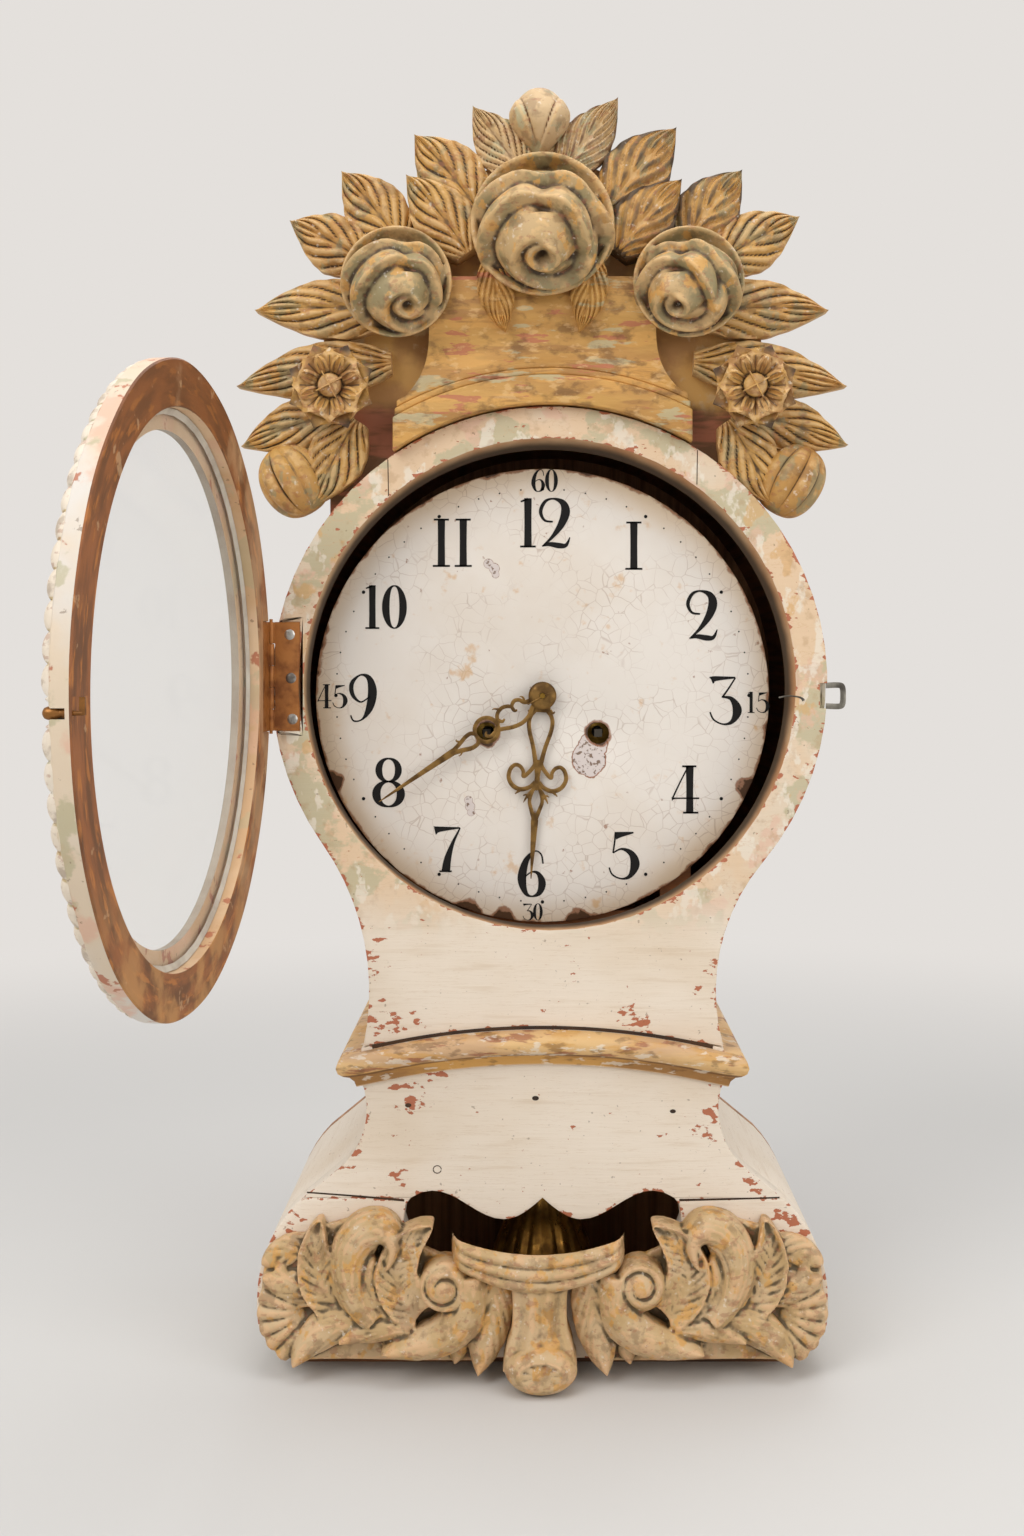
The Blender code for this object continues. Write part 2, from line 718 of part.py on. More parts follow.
def window_top():
    """Upper edge of the window from the cusp at the middle outwards to the joint at the right end."""
    steps = 8
    edge = [(0.0, PLANK_JOINT_Z)]
    for i in range(1, steps):
        share = i / steps
        edge.append((PENDANT_X * share, PLANK_JOINT_Z - PENDANT_DROP * math.sin(share * math.pi / 2)))
    rise = PENDANT_DROP + LOBE_RISE
    for i in range(steps + 1):
        share = i / steps
        x = PENDANT_X + (LOBE_X - PENDANT_X) * share
        edge.append((x, PENDANT_Z + rise * (0.5 - 0.5 * math.cos(share * math.pi))))
    end_x = WINDOW_HALF - WINDOW_EASE
    for share in (0.5, 1.0):
        edge.append((LOBE_X + (end_x - LOBE_X) * share, PLANK_JOINT_Z + LOBE_RISE * (1 - share ** 2)))
    return edge


def window_end(joint_z):
    """Right end of the window from the plank joint down to its foot, two quarter ellipses."""
    points = []
    for angle in (math.pi / 2, math.pi / 4, 0.0):
        x = WINDOW_HALF - WINDOW_EASE * (1 - math.cos(angle))
        points.append((x, WINDOW_END_Z + (joint_z - WINDOW_END_Z) * math.sin(angle)))
    for angle in (math.pi / 4, math.pi / 2):
        x = WINDOW_HALF - WINDOW_FOOT_IN * (1 - math.cos(angle))
        points.append((x, WINDOW_END_Z - (WINDOW_END_Z - WINDOW_FOOT_Z) * math.sin(angle)))
    return points


def build_base():
    side = base_side(base_top())
    top_steps = 12
    top = []
    for i in range(top_steps):
        x = BASE_TOP_HALF * i / top_steps
        top.append((x, NECK_APEX_Z - GAP - arch_drop(x)))
    above = [point for point in side if point[1] > PLANK_JOINT_Z]
    joint = (half_width_at(PLANK_JOINT_Z), PLANK_JOINT_Z)
    half = top + above + [joint] + list(reversed(window_top()))
    outline = half + [(-x, z) for x, z in reversed(half[1:-1])]
    piece("base_front_upper", prism(outline, FRONT_Y, BOARD_BACK_Y), CREAM_PAINT)

    joint_z = PLANK_JOINT_Z - GAP
    below = [point for point in side if point[1] < joint_z]
    half = list(reversed(window_end(joint_z))) + [(half_width_at(joint_z), joint_z)] + below
    piece("base_front_lower", prism(mirrored(half), FRONT_Y, BOARD_BACK_Y), CREAM_PAINT)

    foot_z = BOTTOM_T + GAP
    back_top = NECK_APEX_Z - arch_drop(NECK_HALF) - GAP
    outer = [point for point in base_side(back_top) if point[1] > foot_z]
    foot_out = outer[-1][0]
    foot = [(foot_out - FOOT_EASE, foot_z), (foot_out - SIDE_T - FOOT_SPREAD, foot_z)]
    strip = outer + foot + list(reversed(base_side(back_top, SIDE_T)))
    piece("base_side_right", prism(strip, SIDE_FRONT_Y, SIDE_BACK_Y), CREAM_PAINT)
    piece("base_side_left", prism([(-x, z) for x, z in strip], SIDE_FRONT_Y, SIDE_BACK_Y), CREAM_PAINT)

    back = top + side + [(0.0, FRONT_BOTTOM_Z)]
    piece("base_back_board", prism(mirrored(back), BACK_Y - BACK_T, BACK_Y), BARE_WOOD)
    board = box((-BOTTOM_HALF, SIDE_FRONT_Y, 0.0), (BOTTOM_HALF, SIDE_BACK_Y, BOTTOM_T))
    piece("bottom_board", board, BARE_WOOD)


# Seat for the movement

def build_seat():
    cheek_out = NECK_HALF - SIDE_T - GAP
    seat_low = SEAT_TOP_Z - SEAT_T
    seat_front = DIAL_Y + DIAL_T + SEAT_SETBACK
    for side, name in ((-1, "left"), (1, "right")):
        xs = sorted((side * cheek_out, side * (cheek_out - CHEEK_T)))
        low = (xs[0], seat_front, NECK_APEX_Z + CHEEK_RISE)
        high = (xs[1], SIDE_BACK_Y, seat_low - GAP)
        piece("seat_cheek_" + name, box(low, high), BARE_WOOD)
    low = (-SEAT_HALF, seat_front, seat_low)
    high = (SEAT_HALF, REAR_BACK_Y + SEAT_OVERHANG, SEAT_TOP_Z)
    piece("seat_board", box(low, high), BARE_WOOD)
    rail_half = cheek_out - CHEEK_T - GAP
    rail_z = NECK_APEX_Z + RAIL_RISE
    low = (-rail_half, seat_front, rail_z)
    high = (rail_half, seat_front + RAIL_DEPTH, rail_z + RAIL_H)
    piece("cheek_rail", box(low, high), BARE_WOOD)


# Crest

def leaf(root_x, root_h, tip_x, tip_h, width, y_back, thickness=LEAF_T):
    """A pointed leaf with a raised midrib, flat behind, from a root to a tip in the front plane."""
    root, tip = Vector((root_x, CREST_Z + root_h)), Vector((tip_x, CREST_Z + tip_h))
    along = tip - root
    across = Vector((-along.y, along.x)).normalized()
    rings = []
    for share, spread in ((0.0, 0.45), (0.2, 0.85), (0.42, 1.0), (0.65, 0.78), (0.85, 0.38), (0.995, 0.03)):
        centre = root + along * share
        half = width / 2 * spread
        edge_y = y_back - thickness * 0.55
        rib_y = edge_y - LEAF_RIB * (0.35 + 0.65 * spread)
        left, right = centre + across * half, centre - across * half
        rings.append([(left.x, y_back, left.y), (left.x, edge_y, left.y), (centre.x, rib_y, centre.y),
                      (right.x, edge_y, right.y), (right.x, y_back, right.y)])
    return loft(rings)


def bud(x, height_up, radius, tilt):
    """A plump closed bud, pointed below when the tilt is zero."""
    profile = [(0, -0.5), (0.45, -0.42), (0.80, -0.20), (1.0, 0.12), (0.86, 0.36), (0.45, 0.48), (0, 0.5)]
    mesh = turned([(r * radius, h * BUD_H) for r, h in profile], 12)
    place = Matrix.Translation((x, CREST_FACE_Y - BUD_FORWARD, CREST_Z + height_up))
    return moved(mesh, place @ Matrix.Rotation(tilt, 4, "Y"))


def head_angle(x, radius):
    """Angle at which a circle about the head's centre passes a place across, above the centre."""
    return math.acos((x - HEAD_X) / radius)


def plinth_side(spare=0.0):
    """Right side of the plinth's body, hollow, from its ledge up to its top."""
    points = []
    for share, reach in ((0.0, 0.92), (0.25, 0.42), (0.6, 0.1), (1.0, 0.0)):
        x = PLINTH_TOP_HALF + (PLINTH_HALF - PLINTH_TOP_HALF) * reach
        points.append((x + spare, CREST_Z + PLINTH_FOOT + (PLINTH_TOP - PLINTH_FOOT) * share))
    return points


def spray_board(side):
    """The flat ground that one spray is carved from, seated on the head's hoop and beside the plinth."""
    foot_x = PLINTH_HALF + GAP
    end = SPRAY_END if side > 0 else math.pi - SPRAY_END
    seat = arc(HEAD_X, HEAD_Z, CREST_R, head_angle(side * foot_x, CREST_R), end, 6)
    shape = [(x, CREST_Z + h) for x, h in SPRAY_EDGE]
    shape += [(GAP / 2, CREST_Z + SPRAY_TOP), (GAP / 2, CREST_Z + PLINTH_TOP + GAP)]
    hollow = list(reversed(plinth_side(2 * GAP)))
    shape += [(hollow[0][0], CREST_Z + PLINTH_TOP + GAP)] + hollow[1:-1]
    shape.append((foot_x, CREST_Z + PLINTH_FOOT + GAP))
    return seat + [(side * x, z) for x, z in shape]


def build_crest():
    for side, name in ((-1, "left"), (1, "right")):
        mesh = prism(spray_board(side), CREST_FACE_Y, CREST_BACK_Y)
        for root_x, root_h, tip_x, tip_h, width, forward in SPRAY:
            thickness = LEAF_T + 2 * forward
            blade = leaf(side * root_x, root_h, side * tip_x, tip_h, width,
                         CREST_FACE_Y + LEAF_SINK, thickness)
            mesh = fused(mesh, blade)
        bud_x, bud_h = HANGING_BUD_AT
        mesh = fused(mesh, bud(side * bud_x, bud_h, HANGING_BUD_R, side * HANGING_BUD_LEAN))
        head = prism(circle(HEAD_X, HEAD_Z, CREST_R, 96), FRONT_Y - CREST_T, CREST_BACK_Y + CREST_T)
        stalk_room = circle(side * DAISY_AT[0], CREST_Z + DAISY_AT[1], DAISY_STALK_R + GAP, 16)
        mesh = cut(mesh, head, prism(stalk_room, FRONT_Y - CREST_T, CREST_FACE_Y))
        piece("crest_leaves_" + name, mesh, OCHRE_PAINT)
    build_plinth()
    build_finial()
    build_flowers()


def build_plinth():
    """The arched fascia over the ring, stepped back to a body with hollow sides."""
    high_r = CREST_R + PLINTH_LEDGE
    left, right = -PLINTH_HALF, PLINTH_HALF
    seat = arc(HEAD_X, HEAD_Z, CREST_R, head_angle(left, CREST_R), head_angle(right, CREST_R), 14)
    ledge = arc(HEAD_X, HEAD_Z, high_r, head_angle(right, high_r), head_angle(left, high_r), 14)
    fascia = prism(seat + ledge, FRONT_Y - PLINTH_PROUD, CREST_BACK_Y)
    inside = 0.95 * PLINTH_HALF
    mid_r = CREST_R + 0.2 * PLINTH_LEDGE
    under = arc(HEAD_X, HEAD_Z, mid_r, head_angle(-inside, mid_r), head_angle(inside, mid_r), 10)
    hollow = plinth_side()
    outline = under + hollow + [(-x, z) for x, z in reversed(hollow)]
    body_y = FRONT_Y - PLINTH_PROUD * 0.4
    block = fused(fascia, prism(outline, body_y, CREST_BACK_Y))
    root_x, root_h, tip_x, tip_h, width = PLINTH_LEAF
    for side in (-1, 1):
        block = fused(block, leaf(side * root_x, root_h, side * tip_x, tip_h, width, body_y + LEAF_SINK))
    piece("crest_plinth", block, OCHRE_PAINT)


def build_finial():
    seat_z = CREST_Z + SPRAY_TOP + GAP
    neck_z = CREST_Z + FINIAL_NECK
    shape = mirrored([(FINIAL_NECK_HALF, neck_z), (FINIAL_FOOT_HALF, seat_z)])
    mesh = prism(shape, CREST_FACE_Y - BUD_FORWARD, CREST_BACK_Y)
    mesh = fused(mesh, bud(*FINIAL_BUD_AT, FINIAL_BUD_R, 0.0))
    for row in FINIAL_LEAVES:
        mesh = fused(mesh, leaf(*row, CREST_FACE_Y + LEAF_SINK))
    piece("crest_finial", mesh, OCHRE_PAINT)


def on_stalk(profile, radius, proud, stalk_r, stalk):
    """A flower's turned profile, given in shares of its radius and height, on a round stalk."""
    return [(0, 0), (stalk_r, 0), (stalk_r, stalk)] + [(r * radius, stalk + h * proud) for r, h in profile]


def leaf_front(forward):
    """Depth of the foremost ridge of a leaf that stands forward by some amount."""
    return CREST_FACE_Y + LEAF_SINK - 0.55 * (LEAF_T + 2 * forward) - LEAF_RIB


def build_flowers():
    """Roses are cups with a rolled rim round a hollow heart, daisies are lobed dishes with a button."""
    seat_y = CREST_FACE_Y - GAP
    stalk = seat_y - leaf_front(max(row[5] for row in SPRAY)) + GAP
    shape = [(0.72, 0), (0.95, 0.20), (1.0, 0.42), (0.86, 0.47), (0.86, 0.62), (0.70, 0.80), (0.60, 0.94),
             (0.44, 1.0), (0.24, 0.88), (0, 0.80)]
    side_x, side_h = ROSE_SIDE_AT
    places = (("rose_centre", *ROSE_CENTRE_AT, ROSE_CENTRE_R), ("rose_left", -side_x, side_h, ROSE_SIDE_R),
              ("rose_right", side_x, side_h, ROSE_SIDE_R))
    for name, x, height, radius in places:
        flower = turned(on_stalk(shape, radius, ROSE_PROUD, 0.40 * radius, stalk), 20, 5, 0.05)
        piece(name, facing_front(flower, x, seat_y, CREST_Z + height), SAGE_PAINT)
    stalk = seat_y - leaf_front(SPRAY[4][5]) + GAP
    shape = [(0.5, 0), (0.62, 0.30), (1.0, 0.62), (0.98, 0.78), (0.45, 0.60), (0.34, 0.62), (0.30, 0.88),
             (0.16, 1.0), (0, 1.0)]
    for side, name in ((-1, "daisy_left"), (1, "daisy_right")):
        flower = turned(on_stalk(shape, DAISY_R, DAISY_PROUD, DAISY_STALK_R, stalk), 16, 8, 0.14)
        piece(name, facing_front(flower, side * DAISY_AT[0], seat_y, CREST_Z + DAISY_AT[1]), GILT_BROWN)


# Apron carving

def relief(outline, y_back, proud, inset):
    """A carved slab: upright at the wall and drawn in towards its face."""
    cx = sum(x for x, z in outline) / len(outline)
    cz = sum(z for x, z in outline) / len(outline)
    rings = []
    for depth, pull in ((0.0, 0.0), (0.55, 0.0), (0.9, inset), (1.0, 2.2 * inset)):
        rings.append([(x + (cx - x) * pull, y_back - proud * depth, z + (cz - z) * pull) for x, z in outline])
    return loft(rings)


def build_apron():
    wall_y = FRONT_Y - GAP
    steps = 12
    swag = []
    for i in range(steps + 1):
        share = 1 - 2 * i / steps
        swag.append((SWAG_HALF * share, SWAG_Z + SWAG_RISE * share ** 2))
    volute_top = VOLUTE_Z + VOLUTE_R + VOLUTE_CLEAR
    lower = [(-SWAG_HALF, volute_top), (-STEM_HALF, STEM_TOP_Z), (-STEM_FOOT_HALF, STEM_FOOT_Z),
             (-KNOB_HALF, STEM_FOOT_Z / 2), (-KNOB_HALF * 0.6, KNOB_FOOT_Z)]
    stem = relief(swag + lower + [(-x, z) for x, z in reversed(lower)], wall_y, APRON_PROUD, 0.10)
    shape = [(0, 0), (1, 0), (1, 0.30), (0.85, 0.8), (0.5, 1), (0, 1)]
    knob = turned([(r * KNOB_HALF, h * KNOB_PROUD) for r, h in shape], 16)
    knob = moved(knob, Matrix.Diagonal((1, KNOB_H / (2 * KNOB_HALF), 1, 1)))
    knob = facing_front(knob, 0.0, wall_y, KNOB_H / 2)
    piece("apron_centre", fused(stem, knob), SAGE_PAINT)
    top = [(VOLUTE_X - VOLUTE_OUT / 2, VOLUTE_Z + VOLUTE_R), (VOLUTE_X + VOLUTE_R / 2, SWAG_Z + SWAG_RISE)]
    edge = [*top, *SCROLL_TOP, (APRON_HALF, SCROLL_SIDE_Z), *SCROLL_FOOT]
    shape = [(0, 0), (1, 0), (1, 0.9), (0.6, 1), (0, 1)]
    for side, name in ((-1, "left"), (1, "right")):
        slab = relief([(side * x, z) for x, z in edge], wall_y, SCROLL_PROUD, 0.08)
        scroll = turned([(r * VOLUTE_R, h * APRON_PROUD) for r, h in shape], 18)
        scroll = facing_front(scroll, side * VOLUTE_X, wall_y, VOLUTE_Z)
        piece("apron_scroll_" + name, fused(slab, scroll), SAGE_PAINT)


# Door

def on_door(mesh):
    """Take a piece from the shut door, made flat about its centre, to the open door."""
    shut = Matrix.Translation((HEAD_X, FRONT_Y - DOOR_SHAKE, HEAD_Z)) @ FACING_FRONT
    return opened(moved(mesh, shut))


def opened(mesh):
    pivot = Matrix.Translation((HINGE_X, HINGE_Y, 0))
    return moved(mesh, pivot @ Matrix.Rotation(-DOOR_OPEN, 4, "Z") @ pivot.inverted())


def door_ring():
    """The ring's section: flat rim, rolled front edge, a face sloping to the sight edge, and the rabbet."""
    profile = [(HEAD_R, 0.0)]
    steps = 4
    for i in range(steps + 1):
        angle = math.pi * i / steps
        foot = DOOR_RIM + (DOOR_T - ROLL_DROP - DOOR_RIM) * i / steps
        reach = ROLL_W / 2 * (1 - math.cos(angle))
        profile.append((HEAD_R - reach, foot + (DOOR_T - foot) * math.sin(angle)))
    profile += [(DOOR_SIGHT_R, RABBET_DEPTH + SIGHT_LIP), (DOOR_SIGHT_R, RABBET_DEPTH),
                (RABBET_R, RABBET_DEPTH), (RABBET_R, 0.0)]
    return turned(profile, 60)


def leaf_with_knuckles(y_low, y_high, parts):
    """A hinge leaf with every second knuckle, on the shut door."""
    z_low = HINGE_Z - HINGE_H / 2
    pitch = HINGE_H / KNUCKLES
    x_low = HINGE_X + KNUCKLE_R + GAP
    mesh = box((x_low, y_low, z_low), (HINGE_X + HINGE_LEAF_W, y_high, z_low + HINGE_H))
    for part in parts:
        start = z_low + part * pitch + GAP / 2
        tube = [(HINGE_PIN_R + RUNNING_FIT, 0), (KNUCKLE_R, 0), (KNUCKLE_R, pitch - GAP),
                (HINGE_PIN_R + RUNNING_FIT, pitch - GAP)]
        knuckle = moved(turned(tube, 12), Matrix.Translation((HINGE_X, HINGE_Y, start)))
        web_low = (HINGE_X + (KNUCKLE_R + HINGE_PIN_R) / 2, y_low, start)
        web = box(web_low, (x_low + OVERSHOOT, y_high, start + pitch - GAP))
        mesh = fused(mesh, knuckle, web)
    return mesh


def build_door():
    pivot = (HINGE_X, HINGE_Y, HINGE_Z)
    hinge = axis_empty("door_hinge_axis", pivot)
    door_face = FRONT_Y - DOOR_SHAKE

    spindle_x, spindle_y = HEAD_R - CATCH_INSET, -CATCH_DROP
    way_ends = (-OVERSHOOT, DOOR_T + OVERSHOOT)
    way = rod(SPINDLE_R + RUNNING_FIT, *((spindle_x, spindle_y, depth) for depth in way_ends))
    seat_ends = (CATCH_SEAT, DOOR_T + OVERSHOOT)
    seat = rod(CATCH_KNOB_R + 3 * RUNNING_FIT, *((spindle_x, spindle_y, depth) for depth in seat_ends))
    leaf_x = -HEAD_R - DOOR_SHAKE
    recess = box((leaf_x - GAP, HINGE_RISE - HINGE_H / 2 - GAP, -OVERSHOOT),
                 (leaf_x + HINGE_LEAF_W + GAP, HINGE_RISE + HINGE_H / 2 + GAP, HINGE_LEAF_T + GAP))
    ring = cut(on_door(cut(door_ring(), way, seat, recess)), knuckle_room())
    piece("door_ring", ring, CREAM_PAINT, pivot, hinge)

    glass_r = RABBET_R - GAP
    glass_top = RABBET_DEPTH - GAP
    glass_low = glass_top - GLASS_T
    glass = turned([(0, glass_low), (glass_r, glass_low), (glass_r, glass_top), (0, glass_top)], 48)
    piece("door_glass", on_door(glass), CLEAR_GLASS, pivot, hinge)
    putty_top = glass_low - GAP
    putty_edge = (RABBET_R - PUTTY_W, putty_top)
    putty = turned([putty_edge, (glass_r, putty_top), (glass_r, putty_top - PUTTY_H)], 48)
    piece("glazing_putty", on_door(putty), GREY_PUTTY, pivot, hinge)
    door_leaf = leaf_with_knuckles(door_face - HINGE_LEAF_T, door_face - GAP, (1, 3))
    piece("hinge_leaf_door", opened(door_leaf), COPPER_BROWN, pivot, hinge)

    case_leaf = leaf_with_knuckles(FRONT_Y + GAP, FRONT_Y + HINGE_LEAF_T, (0, 2, 4))
    piece("hinge_leaf_case", case_leaf, COPPER_BROWN)
    ends = HINGE_H / 2 + HINGE_PIN_SPARE
    pin = rod(HINGE_PIN_R, (HINGE_X, HINGE_Y, HINGE_Z - ends), (HINGE_X, HINGE_Y, HINGE_Z + ends))
    piece("hinge_pin", pin, STEEL)
    build_catch(door_face)
    build_keeper()


def build_catch(door_face):
    """A turned knob in a notch of the rim, its spindle through the ring and a blade behind the keeper."""
    blade_y = FRONT_Y + KEEPER_T + DOOR_SHAKE
    knob_y = door_face - CATCH_SEAT - GAP
    inner_end = (CATCH_X, blade_y + BLADE_W / 2, CATCH_Z)
    spindle = rod(SPINDLE_R, inner_end, (CATCH_X, knob_y - CATCH_KNOB_L / 2, CATCH_Z))
    blade = box((CATCH_X - BLADE_T / 2, blade_y, CATCH_Z - BLADE_T / 2),
                (CATCH_X + BLADE_T / 2, blade_y + BLADE_W, CATCH_Z + BLADE_L))
    shape = [(0, 0), (0.55, 0), (0.45, 0.25), (0.9, 0.5), (1.0, 0.7), (0.8, 0.92), (0, 1.0)]
    knob = turned([(r * CATCH_KNOB_R, h * CATCH_KNOB_L) for r, h in shape], 14)
    knob = facing_front(knob, CATCH_X, knob_y, CATCH_Z)
    turn = Matrix.Translation((HINGE_X, HINGE_Y, 0)) @ Matrix.Rotation(-DOOR_OPEN, 4, "Z")
    place = turn @ Vector((CATCH_X - HINGE_X, FRONT_Y - HINGE_Y, CATCH_Z))
    catch = opened(fused(spindle, blade, knob))
    piece("door_catch", catch, DARK_BRASS, place, axis_empty("door_catch_axis", place))


def build_keeper():
    """A flat steel loop let into the slot at the head's right edge."""
    edge = HEAD_X + HEAD_R
    x_in, x_out = CATCH_X + BLADE_T, edge + KEEPER_OUT
    y_front = FRONT_Y + GAP
    half = KEEPER_H / 2 - GAP
    low, high = CATCH_Z - half, CATCH_Z + half
    outer = [(x_in, low), (x_out, low), (x_out, high), (x_in, high)]
    hole_in, hole_out = edge + KEEPER_BAR, x_out - KEEPER_BAR
    hole = [(hole_in, low + KEEPER_BAR), (hole_out, low + KEEPER_BAR), (hole_out, high - KEEPER_BAR),
            (hole_in, high - KEEPER_BAR)]
    piece("latch_keeper", prism(outer, y_front, y_front + KEEPER_T - 2 * GAP, [hole]), STEEL)


# Dial and hands

def along_clock(angle, distance, offset=0.0):
    """A place on the dial from a clockwise angle, a distance from the arbor and a sideways offset."""
    x = distance * math.sin(angle) + offset * math.cos(angle)
    z = distance * math.cos(angle) - offset * math.sin(angle)
    return x, ARBOR_Z + z


def hand(length, half, shape, angle, y_front, bore):
    """A flat hand from shares of its length and of its widest half, with a round boss."""
    left = [along_clock(angle, share * length, -wide * half) for share, wide in shape]
    right = [along_clock(angle, share * length, wide * half) for share, wide in reversed(shape)]
    blade = prism(left + right, y_front, y_front + HAND_T)
    boss = prism(circle(0, ARBOR_Z, HAND_BOSS_R, 16), y_front, y_front + HAND_T)
    hole = prism(circle(0, ARBOR_Z, bore, 10), y_front - OVERSHOOT, y_front + HAND_T + OVERSHOOT)
    return cut(fused(blade, boss), hole)


def build_dial():
    centre = circle(0, ARBOR_Z, HOUR_PIPE_R + RUNNING_FIT, 12)
    holes = [centre] + [circle(side * WIND_X, WIND_Z, WIND_HOLE_R, 14) for side in (-1, 1)]
    plate = prism(circle(0, ARBOR_Z, DIAL_R, 64), DIAL_Y - DIAL_T, DIAL_Y, holes)
    foot_x = PLATE_HALF - DIAL_FOOT_INSET
    feet = []
    for x in (-foot_x, foot_x):
        for z in (PLATE_BOTTOM_Z + DIAL_FOOT_INSET, PLATE_TOP_Z - DIAL_FOOT_INSET):
            feet.append(rod(DIAL_FOOT_R, (x, DIAL_Y - DIAL_T / 2, z), (x, PLATE_Y - GAP, z)))
    piece("dial_plate", fused(plate, *feet), IVORY_DIAL)

    axis = (0, 0, ARBOR_Z)
    bore = CANNON_PIPE_R + RUNNING_FIT
    mesh = hand(MINUTE_HAND_L, MINUTE_HAND_HALF, MINUTE_SHAPE, MINUTE_ANGLE, MINUTE_HAND_Y, bore)
    piece("minute_hand", mesh, DARK_BRASS, axis)
    bore = HOUR_PIPE_R + RUNNING_FIT
    mesh = hand(HOUR_HAND_L, HOUR_HAND_HALF, HOUR_SHAPE, HOUR_ANGLE, HOUR_HAND_Y, bore)
    piece("hour_hand", mesh, DARK_BRASS, axis)
    bore = ARBOR_R + RUNNING_FIT
    ring = [(bore, 0), (COLLET_R, 0), (COLLET_R, COLLET_T * 0.5), (COLLET_R * 0.6, COLLET_T),
            (bore, COLLET_T)]
    piece("hand_collet", facing_front(turned(ring, 14), 0, MINUTE_HAND_Y - GAP, ARBOR_Z), DARK_BRASS, axis)


# Movement

def turning_piece(name, mesh, look, at):
    """A piece made about the depth axis, moved to its own axis at (x, z)."""
    place = (at[0], 0, at[1])
    piece(name, moved(mesh, Matrix.Translation(place)), look, place)


def teeth(count, tip_r, root_r, phase, base_share):
    """A toothed outline with pointed teeth, one tooth at the phase angle."""
    points = []
    pitch = 2 * math.pi / count
    for i in range(count):
        angle = phase + i * pitch
        for turn, radius in ((-base_share, root_r), (0.0, tip_r), (base_share, root_r)):
            at = angle + turn * pitch
            points.append((radius * math.cos(at), radius * math.sin(at)))
    return points


def wheel_and_pinion(wheel_at, pinion_at, wheel_teeth, leaves):
    """A meshing pair, each about its own axis, a wheel tooth in a pinion gap on the line of centres."""
    dx, dz = pinion_at[0] - wheel_at[0], pinion_at[1] - wheel_at[1]
    module = 2 * math.hypot(dx, dz) / (wheel_teeth + leaves)
    wheel_r, pinion_r = module * wheel_teeth / 2, module * leaves / 2
    line = math.atan2(dz, dx)
    wheel = teeth(wheel_teeth, wheel_r + 0.70 * module, wheel_r - 0.95 * module, line, 0.24)
    gap_angle = line + math.pi + math.pi / leaves
    pinion = teeth(leaves, pinion_r + 0.50 * module, pinion_r - 1.10 * module, gap_angle, 0.20)
    return wheel, pinion


def shaft(x, z, stages, y_end, sides=8):
    """A stepped bar along the depth from (start depth, radius) stages and the depth where it ends."""
    profile = [(0.0, -stages[0][0])]
    limits = [depth for depth, _ in stages[1:]] + [y_end]
    for (y_start, radius), y_stop in zip(stages, limits):
        profile += [(radius, -y_start), (radius, -y_stop)]
    profile.append((0.0, -y_end))
    return facing_front(turned(profile, sides), x, 0.0, z)


def arbor(y_low, y_high):
    """A shaft along the depth with a thin pivot in each plate."""
    pivot_low, pivot_high = PLATE_Y + PIVOT_SHORT, REAR_BACK_Y - PIVOT_SHORT
    return shaft(0, 0, [(pivot_low, PIVOT_R), (y_low, TRAIN_ARBOR_R), (y_high, PIVOT_R)], pivot_high)


def build_plates():
    """Both plates are made about the centre arbor and then raised to it."""
    low_z, high_z = PLATE_BOTTOM_Z - ARBOR_Z, PLATE_TOP_Z - ARBOR_Z
    raised = Matrix.Translation((0, 0, ARBOR_Z))
    corners = []
    for x in (-PLATE_HALF + PILLAR_INSET, PLATE_HALF - PILLAR_INSET):
        for z in (low_z + PILLAR_INSET, high_z - PILLAR_INSET):
            corners.append((x, z))
    shape = [(-PLATE_HALF, low_z), (PLATE_HALF, low_z), (PLATE_HALF, high_z), (-PLATE_HALF, high_z)]
    fine = [(THIRD_X, THIRD_Z), (0.0, ESCAPE_Z), (0.0, PALLET_Z), (PIN_WHEEL_X, PIN_WHEEL_Z),
            (HAMMER_X, HAMMER_Z)]
    holes = [circle(x, z - ARBOR_Z, PIVOT_R + RUNNING_FIT, 8) for x, z in fine]
    wind_z = WIND_Z - ARBOR_Z
    holes += [circle(side * WIND_X, wind_z, WIND_ARBOR_R + RUNNING_FIT, 12) for side in (-1, 1)]
    holes.append(circle(0, 0, ARBOR_R + RUNNING_FIT, 12))
    front_only = [circle(x, z, PIVOT_R + RUNNING_FIT, 8) for x, z in corners]
    front_only.append(circle(MINUTE_WHEEL_X, MINUTE_WHEEL_Z - ARBOR_Z, PIVOT_R + RUNNING_FIT, 8))
    front = prism(shape, PLATE_Y, PLATE_BACK_Y, holes + front_only)
    piece("front_plate", moved(front, raised), BRASS)
    back = prism(shape, REAR_PLATE_Y, REAR_BACK_Y, holes)
    for x, z in corners:
        stages = [(PLATE_Y - PILLAR_END, PIVOT_R), (PLATE_BACK_Y + GAP, PILLAR_R)]
        back = fused(back, shaft(x, z, stages, REAR_PLATE_Y + PLATE_T / 2))
    piece("back_plate", moved(back, raised), BRASS)


